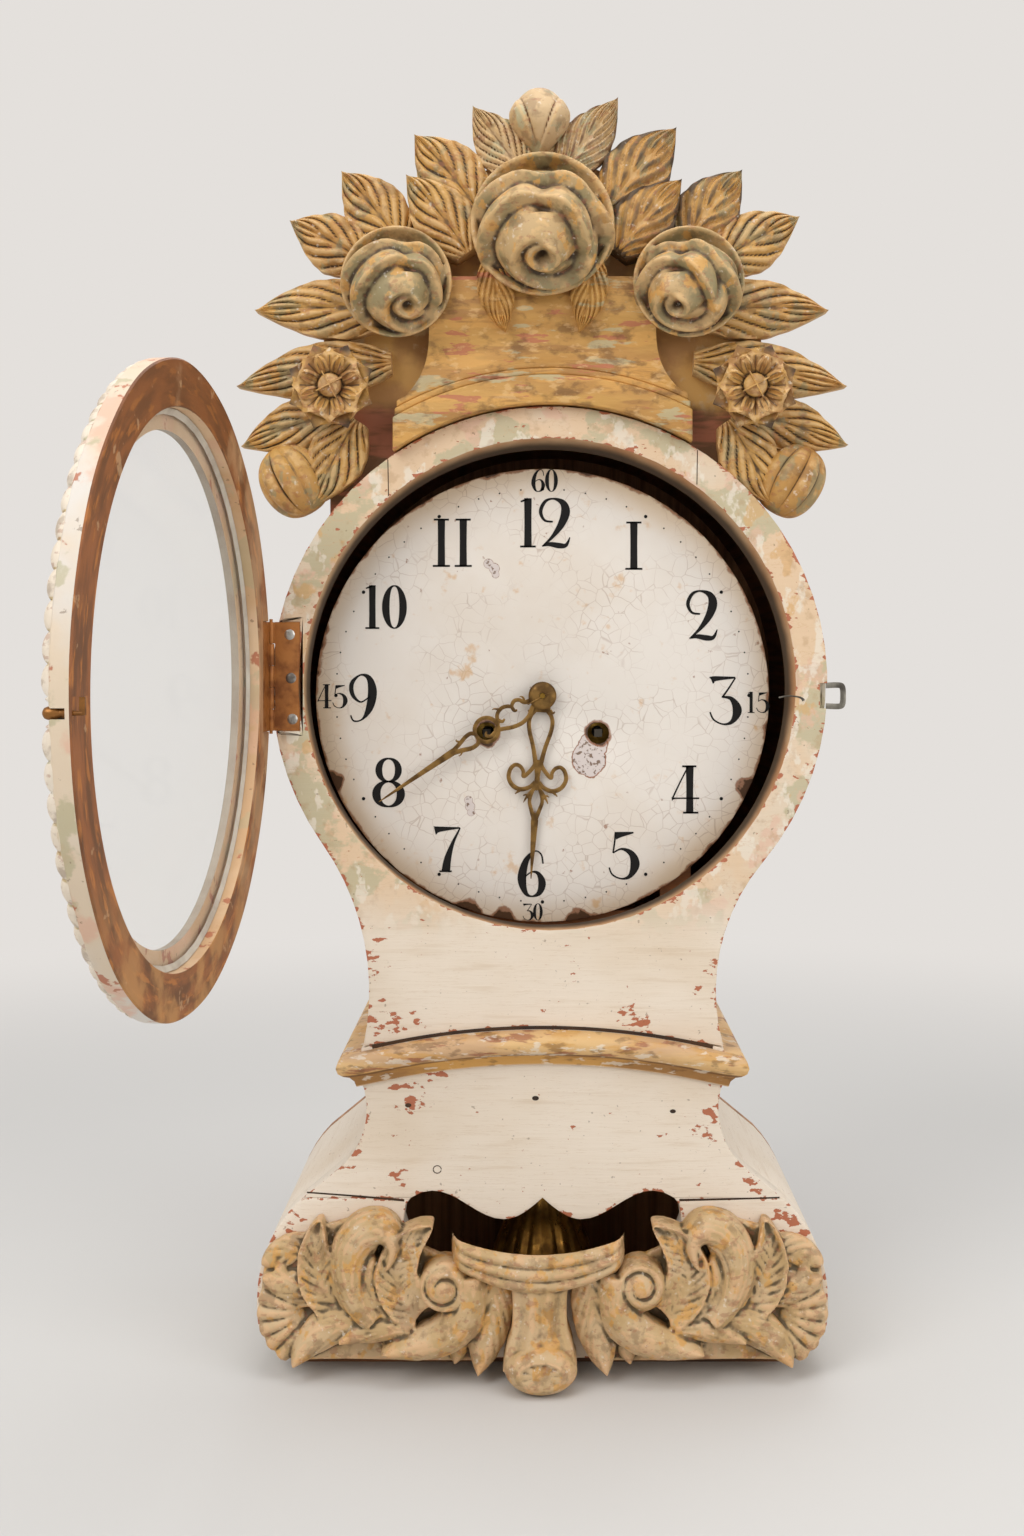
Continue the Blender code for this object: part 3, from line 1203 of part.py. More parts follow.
def build_barrels():
    drum_end = DRUM_Y + DRUM_L
    for side, name in ((1, "going"), (-1, "strike")):
        x = side * WIND_X
        meets = (0.0, ARBOR_Z) if side == 1 else (PIN_WHEEL_X, PIN_WHEEL_Z)
        wheel, _ = wheel_and_pinion((x, WIND_Z), meets, GREAT_TEETH, CENTRE_LEAVES)
        if side == 1:
            rim = prism(wheel, drum_end - RIM_SINK, drum_end + WHEEL_T)
        else:
            rim = prism(wheel, DRUM_Y - WHEEL_T, DRUM_Y + RIM_SINK)
        drum = prism(circle(0, 0, DRUM_R, 24), DRUM_Y, drum_end)
        past = WHEEL_T + OVERSHOOT
        bore = prism(circle(0, 0, WIND_ARBOR_R + RUNNING_FIT, 12), DRUM_Y - past, drum_end + past)
        turning_piece(name + "_barrel", cut(fused(drum, rim), bore), BRASS, (x, WIND_Z))
        start, end = (0, PLATE_Y - WIND_ARBOR_AHEAD, 0), (0, REAR_BACK_Y - PIVOT_SHORT, 0)
        square = box((-WIND_SQUARE, DIAL_Y + WIND_SQUARE_BACK, -WIND_SQUARE),
                     (WIND_SQUARE, PLATE_Y, WIND_SQUARE))
        winder = fused(rod(WIND_ARBOR_R, start, end, 12), square)
        turning_piece(name + "_winding_arbor", winder, STEEL, (x, WIND_Z))


def pinion_at(leaves, wheel_y):
    """A pinion as long as its leaves, which starts a little ahead of the wheel that it meets."""
    return prism(leaves, wheel_y - PINION_LEAD, wheel_y - PINION_LEAD + PINION_L)


def build_train():
    centre, third, escape = (0.0, ARBOR_Z), (THIRD_X, THIRD_Z), (0.0, ESCAPE_Z)
    great_y = DRUM_Y + DRUM_L
    centre_y = PLATE_BACK_Y + CENTRE_SETBACK
    third_y = REAR_PLATE_Y - THIRD_AHEAD
    escape_y = PLATE_BACK_Y + ESCAPE_SETBACK
    shoulder_y = REAR_PLATE_Y - SHOULDER

    _, leaves = wheel_and_pinion((WIND_X, WIND_Z), centre, GREAT_TEETH, CENTRE_LEAVES)
    wheel, third_leaves = wheel_and_pinion(centre, third, CENTRE_TEETH, THIRD_LEAVES)
    third_wheel, escape_leaves = wheel_and_pinion(third, escape, THIRD_TEETH, ESCAPE_LEAVES)

    front_end = MINUTE_HAND_Y - COLLET_T - ARBOR_END
    body = rod(ARBOR_R, (0, front_end, 0), (0, REAR_BACK_Y - PIVOT_SHORT, 0))
    body = fused(body, prism(wheel, centre_y, centre_y + WHEEL_T), pinion_at(leaves, great_y))
    turning_piece("centre_wheel", body, BRASS, centre)

    body = arbor(centre_y - PINION_LEAD, shoulder_y)
    body = fused(body, pinion_at(third_leaves, centre_y), prism(third_wheel, third_y, third_y + WHEEL_T))
    turning_piece("third_wheel", body, BRASS, third)

    tips = teeth(ESCAPE_TEETH, ESCAPE_R, ESCAPE_R - ESCAPE_ROOT, 0.0, 0.20)
    body = arbor(escape_y - SHOULDER, shoulder_y)
    body = fused(body, pinion_at(escape_leaves, third_y), prism(tips, escape_y, escape_y + WHEEL_T))
    turning_piece("escape_wheel", body, BRASS, escape)

    meets = (PIN_WHEEL_X, PIN_WHEEL_Z)
    _, pin_leaves = wheel_and_pinion((-WIND_X, WIND_Z), meets, GREAT_TEETH, CENTRE_LEAVES)
    strike_y = DRUM_Y - WHEEL_T
    pin_y = REAR_PLATE_Y - PIN_WHEEL_AHEAD
    rim = teeth(PIN_TEETH, PIN_WHEEL_R, PIN_WHEEL_R - PIN_ROOT, 0.0, 0.3)
    body = arbor(strike_y - 2 * PINION_LEAD, shoulder_y)
    body = fused(body, pinion_at(pin_leaves, strike_y), prism(rim, pin_y, pin_y + WHEEL_T))
    turning_piece("pin_wheel", body, BRASS, meets)
    build_pallets(escape_y)


def build_motion_work():
    cannon_at, minute_at = (0.0, ARBOR_Z), (MINUTE_WHEEL_X, MINUTE_WHEEL_Z)
    minute_wheel, cannon = wheel_and_pinion(minute_at, cannon_at, MINUTE_TEETH, CANNON_TEETH)
    hour_wheel, minute_leaves = wheel_and_pinion(cannon_at, minute_at, HOUR_TEETH, MINUTE_LEAVES)
    first_y = PLATE_Y - MOTION_AHEAD
    minute_y = first_y + PINION_LEAD
    second_y = first_y - MOTION_STEP
    hour_y = second_y + PINION_LEAD

    pipe = prism(circle(0, 0, CANNON_PIPE_R, 10), MINUTE_HAND_Y, first_y + OVERSHOOT)
    bore = prism(circle(0, 0, ARBOR_R + RUNNING_FIT, 12), MINUTE_HAND_Y - OVERSHOOT, PLATE_Y)
    body = cut(fused(prism(cannon, first_y, first_y + PINION_L), pipe), bore)
    turning_piece("cannon_pinion", body, BRASS, cannon_at)

    stud_ends = (second_y - PILLAR_END, PLATE_BACK_Y - PIVOT_SHORT)
    stud = rod(PIVOT_R, *((0, depth, 0) for depth in stud_ends))
    body = prism(minute_wheel, minute_y, minute_y + WHEEL_T)
    body = fused(body, prism(minute_leaves, second_y, minute_y + OVERSHOOT), stud)
    turning_piece("minute_wheel", body, BRASS, minute_at)

    pipe = prism(circle(0, 0, HOUR_PIPE_R, 12), HOUR_HAND_Y, hour_y + OVERSHOOT)
    inner = circle(0, 0, CANNON_PIPE_R + RUNNING_FIT, 10)
    bore = prism(inner, HOUR_HAND_Y - OVERSHOOT, hour_y + WHEEL_T + OVERSHOOT)
    body = cut(fused(prism(hour_wheel, hour_y, hour_y + WHEEL_T), pipe), bore)
    turning_piece("hour_wheel", body, BRASS, cannon_at)


def build_pallets(escape_y):
    """Anchor, arbor and crutch in one piece; the crutch forks round the pendulum rod."""
    reach = ESCAPE_R + ANCHOR_CLEAR
    tip_x = reach * math.sin(ANCHOR_HALF_ANGLE)
    tip_z = ESCAPE_Z + reach * math.cos(ANCHOR_HALF_ANGLE)
    arch_z = ESCAPE_Z + reach + GAP
    outline = mirrored([(0.0, PALLET_Z + ANCHOR_HUB), (ANCHOR_HUB, PALLET_Z + ANCHOR_HUB * 0.75),
                        (tip_x + NIB_W, tip_z + NIB_H / 2), (tip_x + NIB_W / 2, tip_z - NIB_H),
                        (tip_x, tip_z), (0.0, arch_z)])
    middle_y = escape_y + WHEEL_T / 2
    anchor = prism(outline, middle_y - ANCHOR_T / 2, middle_y + ANCHOR_T / 2)
    crutch_y = REAR_BACK_Y + CRUTCH_BACK
    crutch_z = PALLET_Z - CRUTCH_L
    body = rod(PIVOT_R, (0, PLATE_Y + PIVOT_SHORT, PALLET_Z), (0, crutch_y + CRUTCH_T + OVERSHOOT, PALLET_Z))
    strip = box((-CRUTCH_HALF, crutch_y, crutch_z + FORK_H * 0.2),
                (CRUTCH_HALF, crutch_y + CRUTCH_T, PALLET_Z + CRUTCH_T))
    slot = ROD_R + 2 * RUNNING_FIT
    fork = box((-FORK_HALF, crutch_y + CRUTCH_T / 4, crutch_z),
               (FORK_HALF, PENDULUM_Y + ROD_R, crutch_z + FORK_H))
    room = box((-slot, PENDULUM_Y - slot, crutch_z - OVERSHOOT),
               (slot, PENDULUM_Y + ROD_R + OVERSHOOT, crutch_z + FORK_H + OVERSHOOT))
    crutch = fused(cut(fork, room), strip)
    piece("pallets", fused(crutch, body, anchor), STEEL, (0, 0, PALLET_Z))


def build_pendulum():
    axis = (0, PENDULUM_Y, PALLET_Z)
    cock_z = PALLET_Z + COCK_RISE
    foot = box((-COCK_HALF, REAR_BACK_Y + GAP, cock_z),
               (COCK_HALF, REAR_BACK_Y + COCK_T, PLATE_TOP_Z + COCK_OVER))
    arm = box((-COCK_ARM_HALF, REAR_BACK_Y + OVERSHOOT, cock_z),
              (COCK_ARM_HALF, PENDULUM_Y + COCK_ARM_PAST, cock_z + COCK_ARM_H))
    piece("pendulum_cock", fused(foot, arm), BRASS)
    spring_foot = PALLET_Z - SPRING_L
    spring = box((-SPRING_HALF, PENDULUM_Y - SPRING_T / 2, spring_foot),
                 (SPRING_HALF, PENDULUM_Y + SPRING_T / 2, cock_z - GAP))
    stick = rod(ROD_R, (0, PENDULUM_Y, ROD_END_Z), (0, PENDULUM_Y, spring_foot + 2 * OVERSHOOT))
    nut = rod(NUT_R, (0, PENDULUM_Y, ROD_END_Z + NUT_RISE), (0, PENDULUM_Y, ROD_END_Z + NUT_H), 12)
    piece("pendulum_rod", fused(stick, spring, nut), STEEL, axis)
    foot_z = ROD_END_Z + NUT_H + GAP
    bore = ROD_R + RUNNING_FIT
    shape = [(0.10, 1.0), (0.14, 0.94), (0.24, 0.84), (0.50, 0.66), (0.84, 0.46), (1.0, 0.32), (0.96, 0.20),
             (0.70, 0.08), (0.30, 0.0)]
    outside = [(max(r * BOB_R, bore + BOB_COLLAR), h * BOB_H) for r, h in shape]
    bob = turned([(bore, BOB_H)] + outside + [(bore, 0.0)], 2 * BOB_FLUTES, BOB_FLUTES, FLUTE_DEPTH)
    for vert in bob.verts:
        radius = math.hypot(vert.co.x, vert.co.y)
        if radius < bore + BOB_COLLAR / 2:
            vert.co.x *= bore / radius
            vert.co.y *= bore / radius
    piece("pendulum_bob", moved(bob, Matrix.Translation((0, PENDULUM_Y, foot_z))), BRASS, axis)


def build_bell():
    y = REAR_BACK_Y + GAP + STANDARD_R
    top_z = BELL_MOUTH_Z + BELL_H
    hole = STANDARD_TAIL_R + RUNNING_FIT
    outer = [(1.0, 0.0), (0.93, 0.25), (0.84, 0.55), (0.66, 0.83), (0.36, 0.97)]
    profile = [(hole, BELL_H)]
    profile += [(r * BELL_R, h * BELL_H) for r, h in reversed(outer)]
    profile += [(r * BELL_R - BELL_WALL, h * BELL_H - BELL_WALL * (h > 0)) for r, h in outer]
    profile += [(hole, BELL_H - BELL_WALL)]
    bell = moved(turned(profile, 20), Matrix.Translation((BELL_X, y, BELL_MOUTH_Z)))
    piece("bell", bell, BRASS)
    shoulder = top_z - BELL_WALL - GAP
    post = rod(STANDARD_R, (BELL_X, y, PLATE_TOP_Z - STANDARD_LAP), (BELL_X, y, shoulder))
    tail = rod(STANDARD_TAIL_R, (BELL_X, y, shoulder - OVERSHOOT), (BELL_X, y, top_z + STANDARD_TAIL))
    piece("bell_standard", fused(post, tail), STEEL)
    build_hammer(y)


def build_hammer(bell_y):
    """An arm on its own arbor, with a round head that stops a little short of the bell."""
    arm_y = REAR_PLATE_Y - HAMMER_AHEAD
    strike_x = BELL_X - HAMMER_X + math.sqrt(BELL_R ** 2 - (bell_y - arm_y) ** 2) + HAMMER_CLEAR
    head_x = strike_x + HAMMER_HEAD_L / 2
    reach = math.hypot(head_x, HAMMER_L)
    nx = HAMMER_L / reach * HAMMER_BAR_HALF
    nz = -head_x / reach * HAMMER_BAR_HALF
    bar = [(nx, nz), (head_x + nx, HAMMER_L + nz), (head_x - nx, HAMMER_L - nz), (-nx, -nz)]
    body = arbor(arm_y - SHOULDER, arm_y + SHOULDER)
    body = fused(body, prism(bar, arm_y - HAMMER_BAR_T / 2, arm_y + HAMMER_BAR_T / 2))
    head = rod(HAMMER_HEAD_R, (strike_x, arm_y, HAMMER_L), (strike_x + HAMMER_HEAD_L, arm_y, HAMMER_L), 14)
    turning_piece("hammer", fused(body, head), STEEL, (HAMMER_X, HAMMER_Z))


def main():
    clear_scene()
    build_head()
    build_moulding()
    build_base()
    build_seat()
    build_crest()
    build_apron()
    build_door()
    build_dial()
    build_plates()
    build_barrels()
    build_train()
    build_motion_work()
    build_pendulum()
    build_bell()


main()
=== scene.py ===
# Painted table clock with a carved crest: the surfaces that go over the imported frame
import bmesh
import bpy
import math
import numpy as np
from mathutils import Matrix, Vector


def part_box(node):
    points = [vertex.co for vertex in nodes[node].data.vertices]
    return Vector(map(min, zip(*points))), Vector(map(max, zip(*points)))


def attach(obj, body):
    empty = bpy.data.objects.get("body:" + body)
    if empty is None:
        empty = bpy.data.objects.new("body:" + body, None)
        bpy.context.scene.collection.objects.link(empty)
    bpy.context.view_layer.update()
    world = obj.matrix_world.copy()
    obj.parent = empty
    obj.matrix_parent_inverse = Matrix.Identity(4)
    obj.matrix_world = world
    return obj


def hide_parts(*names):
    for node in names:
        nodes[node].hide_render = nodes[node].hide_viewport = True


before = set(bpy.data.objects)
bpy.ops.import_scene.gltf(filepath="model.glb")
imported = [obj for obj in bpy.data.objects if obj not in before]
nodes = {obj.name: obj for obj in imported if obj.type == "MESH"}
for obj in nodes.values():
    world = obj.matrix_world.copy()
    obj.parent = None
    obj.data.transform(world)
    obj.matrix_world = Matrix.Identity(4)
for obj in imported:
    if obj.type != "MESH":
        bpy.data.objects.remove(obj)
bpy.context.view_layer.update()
print("frame loaded,", len(nodes), "nodes")

# the few sizes that most pieces share, in metres
clock = {
    "frontY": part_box("head_front_board")[0].y,
    "headX": 0.005,
    "headZ": 0.4816,
    "headR": 0.194,
    "crestFaceY": -0.094,  # ground that the sprays are carved from
    "arborZ": 0.473,
    "dialY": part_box("dial_plate")[0].y,
}


# hand tools

def dropAll():
    if bpy.context.object and bpy.context.object.mode != "OBJECT":
        bpy.ops.object.mode_set(mode="OBJECT")
    bpy.ops.object.select_all(action="DESELECT")


def pick(obj):
    dropAll()
    obj.select_set(True)
    bpy.context.view_layer.objects.active = obj
    return obj


def named(name):
    obj = bpy.context.object
    obj.name = name
    obj.data.name = name
    return obj


def pressAll(obj):  # applies every modifier
    pick(obj)
    for mod in list(obj.modifiers):
        bpy.ops.object.modifier_apply(modifier=mod.name)
    return obj


def settle(obj):
    pick(obj)
    bpy.ops.object.transform_apply(location=True, rotation=True, scale=True)
    return obj


def joined(parts, name):
    dropAll()
    for part in parts:
        part.select_set(True)
    bpy.context.view_layer.objects.active = parts[0]
    if len(parts) > 1:
        bpy.ops.object.join()
    return named(name)


def outward(obj, apart=1e-6):
    pick(obj)
    bpy.ops.object.mode_set(mode="EDIT")
    bpy.ops.mesh.select_all(action="SELECT")
    bpy.ops.mesh.remove_doubles(threshold=apart)
    bpy.ops.mesh.normals_make_consistent(inside=False)
    bpy.ops.object.mode_set(mode="OBJECT")
    return obj


def softened(obj, angle=40):
    pick(obj)
    bpy.ops.object.shade_smooth_by_angle(angle=math.radians(angle))
    return obj


def copied(obj, name):
    twin = obj.copy()
    twin.data = obj.data.copy()
    twin.name = name
    twin.data.name = name
    bpy.context.scene.collection.objects.link(twin)
    return twin


def gridSheet(name, across, along):  # a flat grid, points in rows from its foot to its tip
    dropAll()
    bpy.ops.mesh.primitive_grid_add(x_subdivisions=across, y_subdivisions=along, size=2)
    return named(name)


def shapeSheet(sheet, place):  # place takes u from -1 to 1 across and v from 0 to 1 along
    for vert in sheet.data.vertices:
        vert.co = place(vert.co.x, (vert.co.y + 1) / 2)
    return sheet


def backed(sheet, backY):  # draws the sheet's copy back to a flat wall, which makes it a solid
    pick(sheet)
    bpy.ops.object.mode_set(mode="EDIT")
    bpy.ops.mesh.select_all(action="SELECT")
    bpy.ops.mesh.extrude_region_move(TRANSFORM_OT_translate={"value": (0, 0.02, 0)})
    bpy.ops.transform.resize(value=(1, 0, 1), center_override=(0, backY, 0))
    bpy.ops.object.mode_set(mode="OBJECT")
    return outward(sheet, 1e-7)


def capped(obj):  # closes its open edge with one face
    pick(obj)
    bpy.ops.object.mode_set(mode="EDIT")
    bpy.ops.mesh.select_mode(type="EDGE")
    bpy.ops.mesh.select_all(action="DESELECT")
    bpy.ops.mesh.select_non_manifold()
    bpy.ops.mesh.edge_face_add()
    bpy.ops.mesh.select_mode(type="VERT")
    bpy.ops.object.mode_set(mode="OBJECT")
    return outward(obj)


def slab(name, outline, frontY, backY):  # a flat board from an outline in the front plane
    dropAll()
    bpy.ops.mesh.primitive_circle_add(vertices=len(outline), radius=1, fill_type="NGON")
    board = named(name)
    for vert, (x, z) in zip(board.data.vertices, outline):
        vert.co = (x, frontY, z)
    return backed(board, backY)


def lathe(name, profile, steps, turn=None):  # spins (radius, height) points about Z, then places the body
    dropAll()
    bpy.ops.mesh.primitive_circle_add(vertices=len(profile), radius=1, fill_type="NOTHING")
    body = named(name)
    bpy.ops.object.mode_set(mode="EDIT")
    mesh = bmesh.from_edit_mesh(body.data)
    mesh.verts.ensure_lookup_table()
    for vert, (radius, height) in zip(mesh.verts, profile):
        vert.co = (radius, 0, height)
    if profile[0][0] < 1e-6 and profile[-1][0] < 1e-6:  # open on the axis
        mesh.edges.remove(mesh.edges.get((mesh.verts[0], mesh.verts[-1])))
    bmesh.update_edit_mesh(body.data)
    bpy.ops.mesh.select_all(action="SELECT")
    bpy.ops.mesh.spin(steps=steps, angle=2 * math.pi, center=(0, 0, 0), axis=(0, 0, 1))
    bpy.ops.object.mode_set(mode="OBJECT")
    outward(body)
    if turn:
        body.data.transform(turn)
    return body


def lineAt(points, run):  # a smooth line through (across, up, half width) points, run from 0 to 1
    spans = len(points) - 1
    at = min(max(int(run * spans), 0), spans - 1)
    part = run * spans - at
    before, start, end, after = (Vector(points[min(max(at + step, 0), spans)]) for step in (-1, 0, 1, 2))
    return 0.5 * (2 * start + (end - before) * part + (2 * before - 5 * start + 4 * end - after) * part ** 2
                  + (3 * start - before - 3 * end + after) * part ** 3)


def stroke(points, frontY, backY, dome=0.0, across=1, along=28):  # a flat or domed ribbon along a line
    def place(u, v):
        middle = lineAt(points, v)
        way = lineAt(points, min(v + 0.004, 1)) - lineAt(points, max(v - 0.004, 0))
        way.z = 0
        way.normalize()
        half = max(middle.z, 0.0001)
        return middle.x - way.y * half * u, frontY - dome * (1 - u * u), middle.y + way.x * half * u

    return backed(shapeSheet(gridSheet("stroke", across, along), place), backY)


def eased(nodeName, name, width, steps=2):  # a frame node with its sharp edges rounded
    shape = copied(nodes[nodeName], name)
    shape.data.transform(nodes[nodeName].matrix_world)
    shape.parent = None
    shape.matrix_world = Matrix()
    outward(shape, 1e-6)
    rim = shape.modifiers.new("rim", "BEVEL")
    rim.width = width
    rim.segments = steps
    rim.limit_method = "ANGLE"
    rim.angle_limit = math.radians(35)
    return softened(pressAll(shape), 30)


def facingOut(x, y, z, tiltDown=0, turnIn=0):  # takes a body made about +Z to face the front, leaning
    lean = Matrix.Rotation(math.radians(turnIn), 4, "Z") @ Matrix.Rotation(math.radians(tiltDown), 4, "X")
    return Matrix.Translation((x, y, z)) @ lean @ Matrix.Rotation(math.radians(90), 4, "X")


def oneCarving(parts, name, voxel, rounds=3):  # fuses parts into one carved body with soft creases
    body = joined(parts, name)
    body.modifiers.new("fuse", "REMESH").voxel_size = voxel
    soft = body.modifiers.new("soft", "SMOOTH")
    soft.factor = 0.5
    soft.iterations = rounds
    pressAll(body)
    bpy.ops.object.shade_smooth()
    return body


def markRelief(obj, reach, rounds):  # keeps how proud or hollow each point is, for wear and for dirt with painted shade
    mesh = obj.data
    count = len(mesh.vertices)
    place = np.zeros(count * 3)
    mesh.vertices.foreach_get("co", place)
    place = place.reshape(-1, 3)
    normal = np.zeros(count * 3)
    mesh.vertices.foreach_get("normal", normal)
    normal = normal.reshape(-1, 3)
    ends = np.zeros(len(mesh.edges) * 2, int)
    mesh.edges.foreach_get("vertices", ends)
    ends = ends.reshape(-1, 2)
    ways = np.bincount(ends.ravel(), minlength=count).clip(1)[:, None]
    smooth = place.copy()
    for _ in range(rounds):
        total = np.zeros_like(smooth)
        for axis in range(3):
            total[:, axis] += np.bincount(ends[:, 0], smooth[ends[:, 1], axis], count)
            total[:, axis] += np.bincount(ends[:, 1], smooth[ends[:, 0], axis], count)
        smooth = total / ways
    proud = ((place - smooth) * normal).sum(1) / reach
    layer = mesh.attributes.new("relief", "FLOAT", "POINT")
    layer.data.foreach_set("value", (0.5 + 0.5 * proud).clip(0, 1))
    return obj


def given(obj, body, finish, slotName, *replaced):  # finish and body of a new piece
    obj.data.materials.clear()
    obj.data.materials.append(finish)
    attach(obj, body)
    if replaced:
        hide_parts(*replaced)
    return obj


def coated(nodeName, finish):  # a finish on a frame node that stays
    slots = nodes[nodeName].data.materials
    slots.clear()
    slots.append(finish)


# finishes: all of them read Object coordinates, which are the frame's own metres

def linear(code):  # a hex colour as the linear one that a shader takes
    shares = [int(code[at:at + 2], 16) / 255 for at in (1, 3, 5)]
    return tuple(s / 12.92 if s <= 0.04045 else ((s + 0.055) / 1.055) ** 2.4 for s in shares) + (1,)


tint = {name: linear(code) for name, code in {
    "cream": "#E8DAC8", "oldCream": "#DCC8AE", "grain": "#C4A884", "terracotta": "#B26A4A",
    "ivory": "#E6DCCB", "peach": "#DDBE9A", "sage": "#B4AC88", "pink": "#DCAE94", "ochre": "#D09C52",
    "mustard": "#B48444", "umber": "#664420", "shade": "#3C2A16", "greyGreen": "#94855E", "straw": "#D6B078",
    "redBrown": "#9C5E40", "bronze": "#A2743E", "paleOlive": "#C6B086", "wood": "#8A5830", "paleWood": "#BC885A",
    "darkWood": "#4E3420", "beige": "#CDA67C", "enamel": "#E7DFD5", "enamelDark": "#DACCBB", "rust": "#8E5630",
    "chalk": "#D4C8C2", "stone": "#C0A070", "paleStone": "#CCAE84",
    "deepOlive": "#4C3E24", "gold": "#C2944E", "paleGold": "#DDB57C",
    "pinkTan": "#DCB084", "rawWood": "#A5622E", "rimWhite": "#D9D1C7",
}.items()}


even = (1, 1, 1)  # for a noise that isn't stretched


def put(tree, kind, wires, **settings):  # a node with its settings, its sockets wired or set
    node = tree.nodes.new("ShaderNode" + kind)
    for key, value in settings.items():
        setattr(node, key, value)
    for key, value in wires.items():
        if isinstance(value, bpy.types.NodeSocket):
            tree.links.new(value, node.inputs[key])
        else:
            node.inputs[key].default_value = value
    return node


def newFinish(name, rough, metal=0.0):
    coat = bpy.data.materials.new(name)
    coat.use_nodes = True
    tree = coat.node_tree
    shader = tree.nodes["Principled BSDF"]
    shader.inputs["Roughness"].default_value = rough
    shader.inputs["Metallic"].default_value = metal
    return coat, tree, shader, put(tree, "TexCoord", {}).outputs["Object"]


def fuzz(tree, where, scale, detail=4.0, stretch=even):
    spread = put(tree, "Mapping", {"Vector": where, "Scale": stretch}).outputs[0]
    noise = {"Vector": spread, "Scale": scale, "Detail": detail, "Roughness": 0.55}
    return put(tree, "TexNoise", noise).outputs[0]


def ease(tree, value, low, high, start=0.0, end=1.0):  # from start to end as value goes from low to high
    ends = {"Value": value, "From Min": low, "From Max": high, "To Min": start, "To Max": end}
    return put(tree, "MapRange", ends, interpolation_type="SMOOTHSTEP").outputs[0]


def over(tree, share, under, top):
    return put(tree, "Mix", {0: share, 6: under, 7: top}, data_type="RGBA").outputs[2]


def layered(tree, where, colour, *layers):  # tints over a colour, each where a noise of its own runs high
    for scale, detail, stretch, low, high, share, name in layers:
        patch = ease(tree, fuzz(tree, where, scale, detail, stretch), low, high, 0, share)
        colour = over(tree, patch, colour, tint[name])
    return colour


def reckon(tree, kind, first, second=0.0):
    return put(tree, "Math", {0: first, 1: second}, operation=kind).outputs[0]


def times(tree, first, second):
    return reckon(tree, "MULTIPLY", first, second)


def plus(tree, first, second):
    return reckon(tree, "ADD", first, second)


def fromPoint(tree, value, point):  # how far a value is from a point, either way
    return reckon(tree, "ABSOLUTE", reckon(tree, "SUBTRACT", value, point))


def aim(tree, kind, first, second=(0, 0, 0)):  # sums with vectors; some of them end in a number
    ending = "Value" if kind in ("DISTANCE", "DOT_PRODUCT", "LENGTH") else 0
    return put(tree, "VectorMath", {0: first, 1: second}, operation=kind).outputs[ending]


def axes(tree, where):
    return put(tree, "SeparateXYZ", {0: where}).outputs


def kept(tree, name):  # a value that the mesh keeps at each point
    return put(tree, "Attribute", {}, attribute_name=name).outputs["Fac"]


def thinLines(tree, value, width):  # narrow lines where a noise crosses its middle
    return ease(tree, fromPoint(tree, value, 0.5), 0.0, width, 1.0, 0.0)


def flattened(tree, where):  # the same place in the front plane
    return aim(tree, "MULTIPLY", where, (1, 0, 1))


def flatRadius(tree, where, x, z):  # distance from a point, seen from the front
    return aim(tree, "DISTANCE", flattened(tree, where), (x, 0, z))


def spotted(tree, where, spots):  # 1 in the middle of any spot (x, z, reach), fading to 0 at its edge
    total = 0.0
    for x, z, reach in spots:
        here = ease(tree, flatRadius(tree, where, x, z), reach * 0.35, reach, 1.0, 0.0)
        total = reckon(tree, "MAXIMUM", here, total)
    return total


def roughened(tree, shader, height, distance, strength=0.5):
    bump = put(tree, "Bump", {"Height": height, "Distance": distance, "Strength": strength})
    tree.links.new(bump.outputs[0], shader.inputs["Normal"])


def coloured(tree, shader, colour):
    tree.links.new(colour, shader.inputs["Base Color"])


# places on the case's front where the paint has flaked most, as (x, z, reach)
flaked = [(-0.112, 0.241, 0.026), (-0.120, 0.252, 0.020), (-0.094, 0.246, 0.018), (-0.119, 0.284, 0.014),
          (-0.121, 0.302, 0.012), (0.119, 0.284, 0.016), (0.113, 0.266, 0.012), (0.058, 0.248, 0.014),
          (0.070, 0.248, 0.010), (-0.074, 0.213, 0.018), (-0.092, 0.198, 0.022), (-0.110, 0.203, 0.016),
          (0.115, 0.173, 0.020), (-0.124, 0.160, 0.014), (-0.140, 0.146, 0.014), (0.140, 0.144, 0.018),
          (0.152, 0.134, 0.016), (-0.176, 0.104, 0.018), (0.172, 0.108, 0.022), (-0.100, 0.138, 0.012),
          (-0.184, 0.092, 0.016), (0.185, 0.096, 0.016)]
soreness = 0.160  # how much sooner the paint is off at a flaked place or an edge


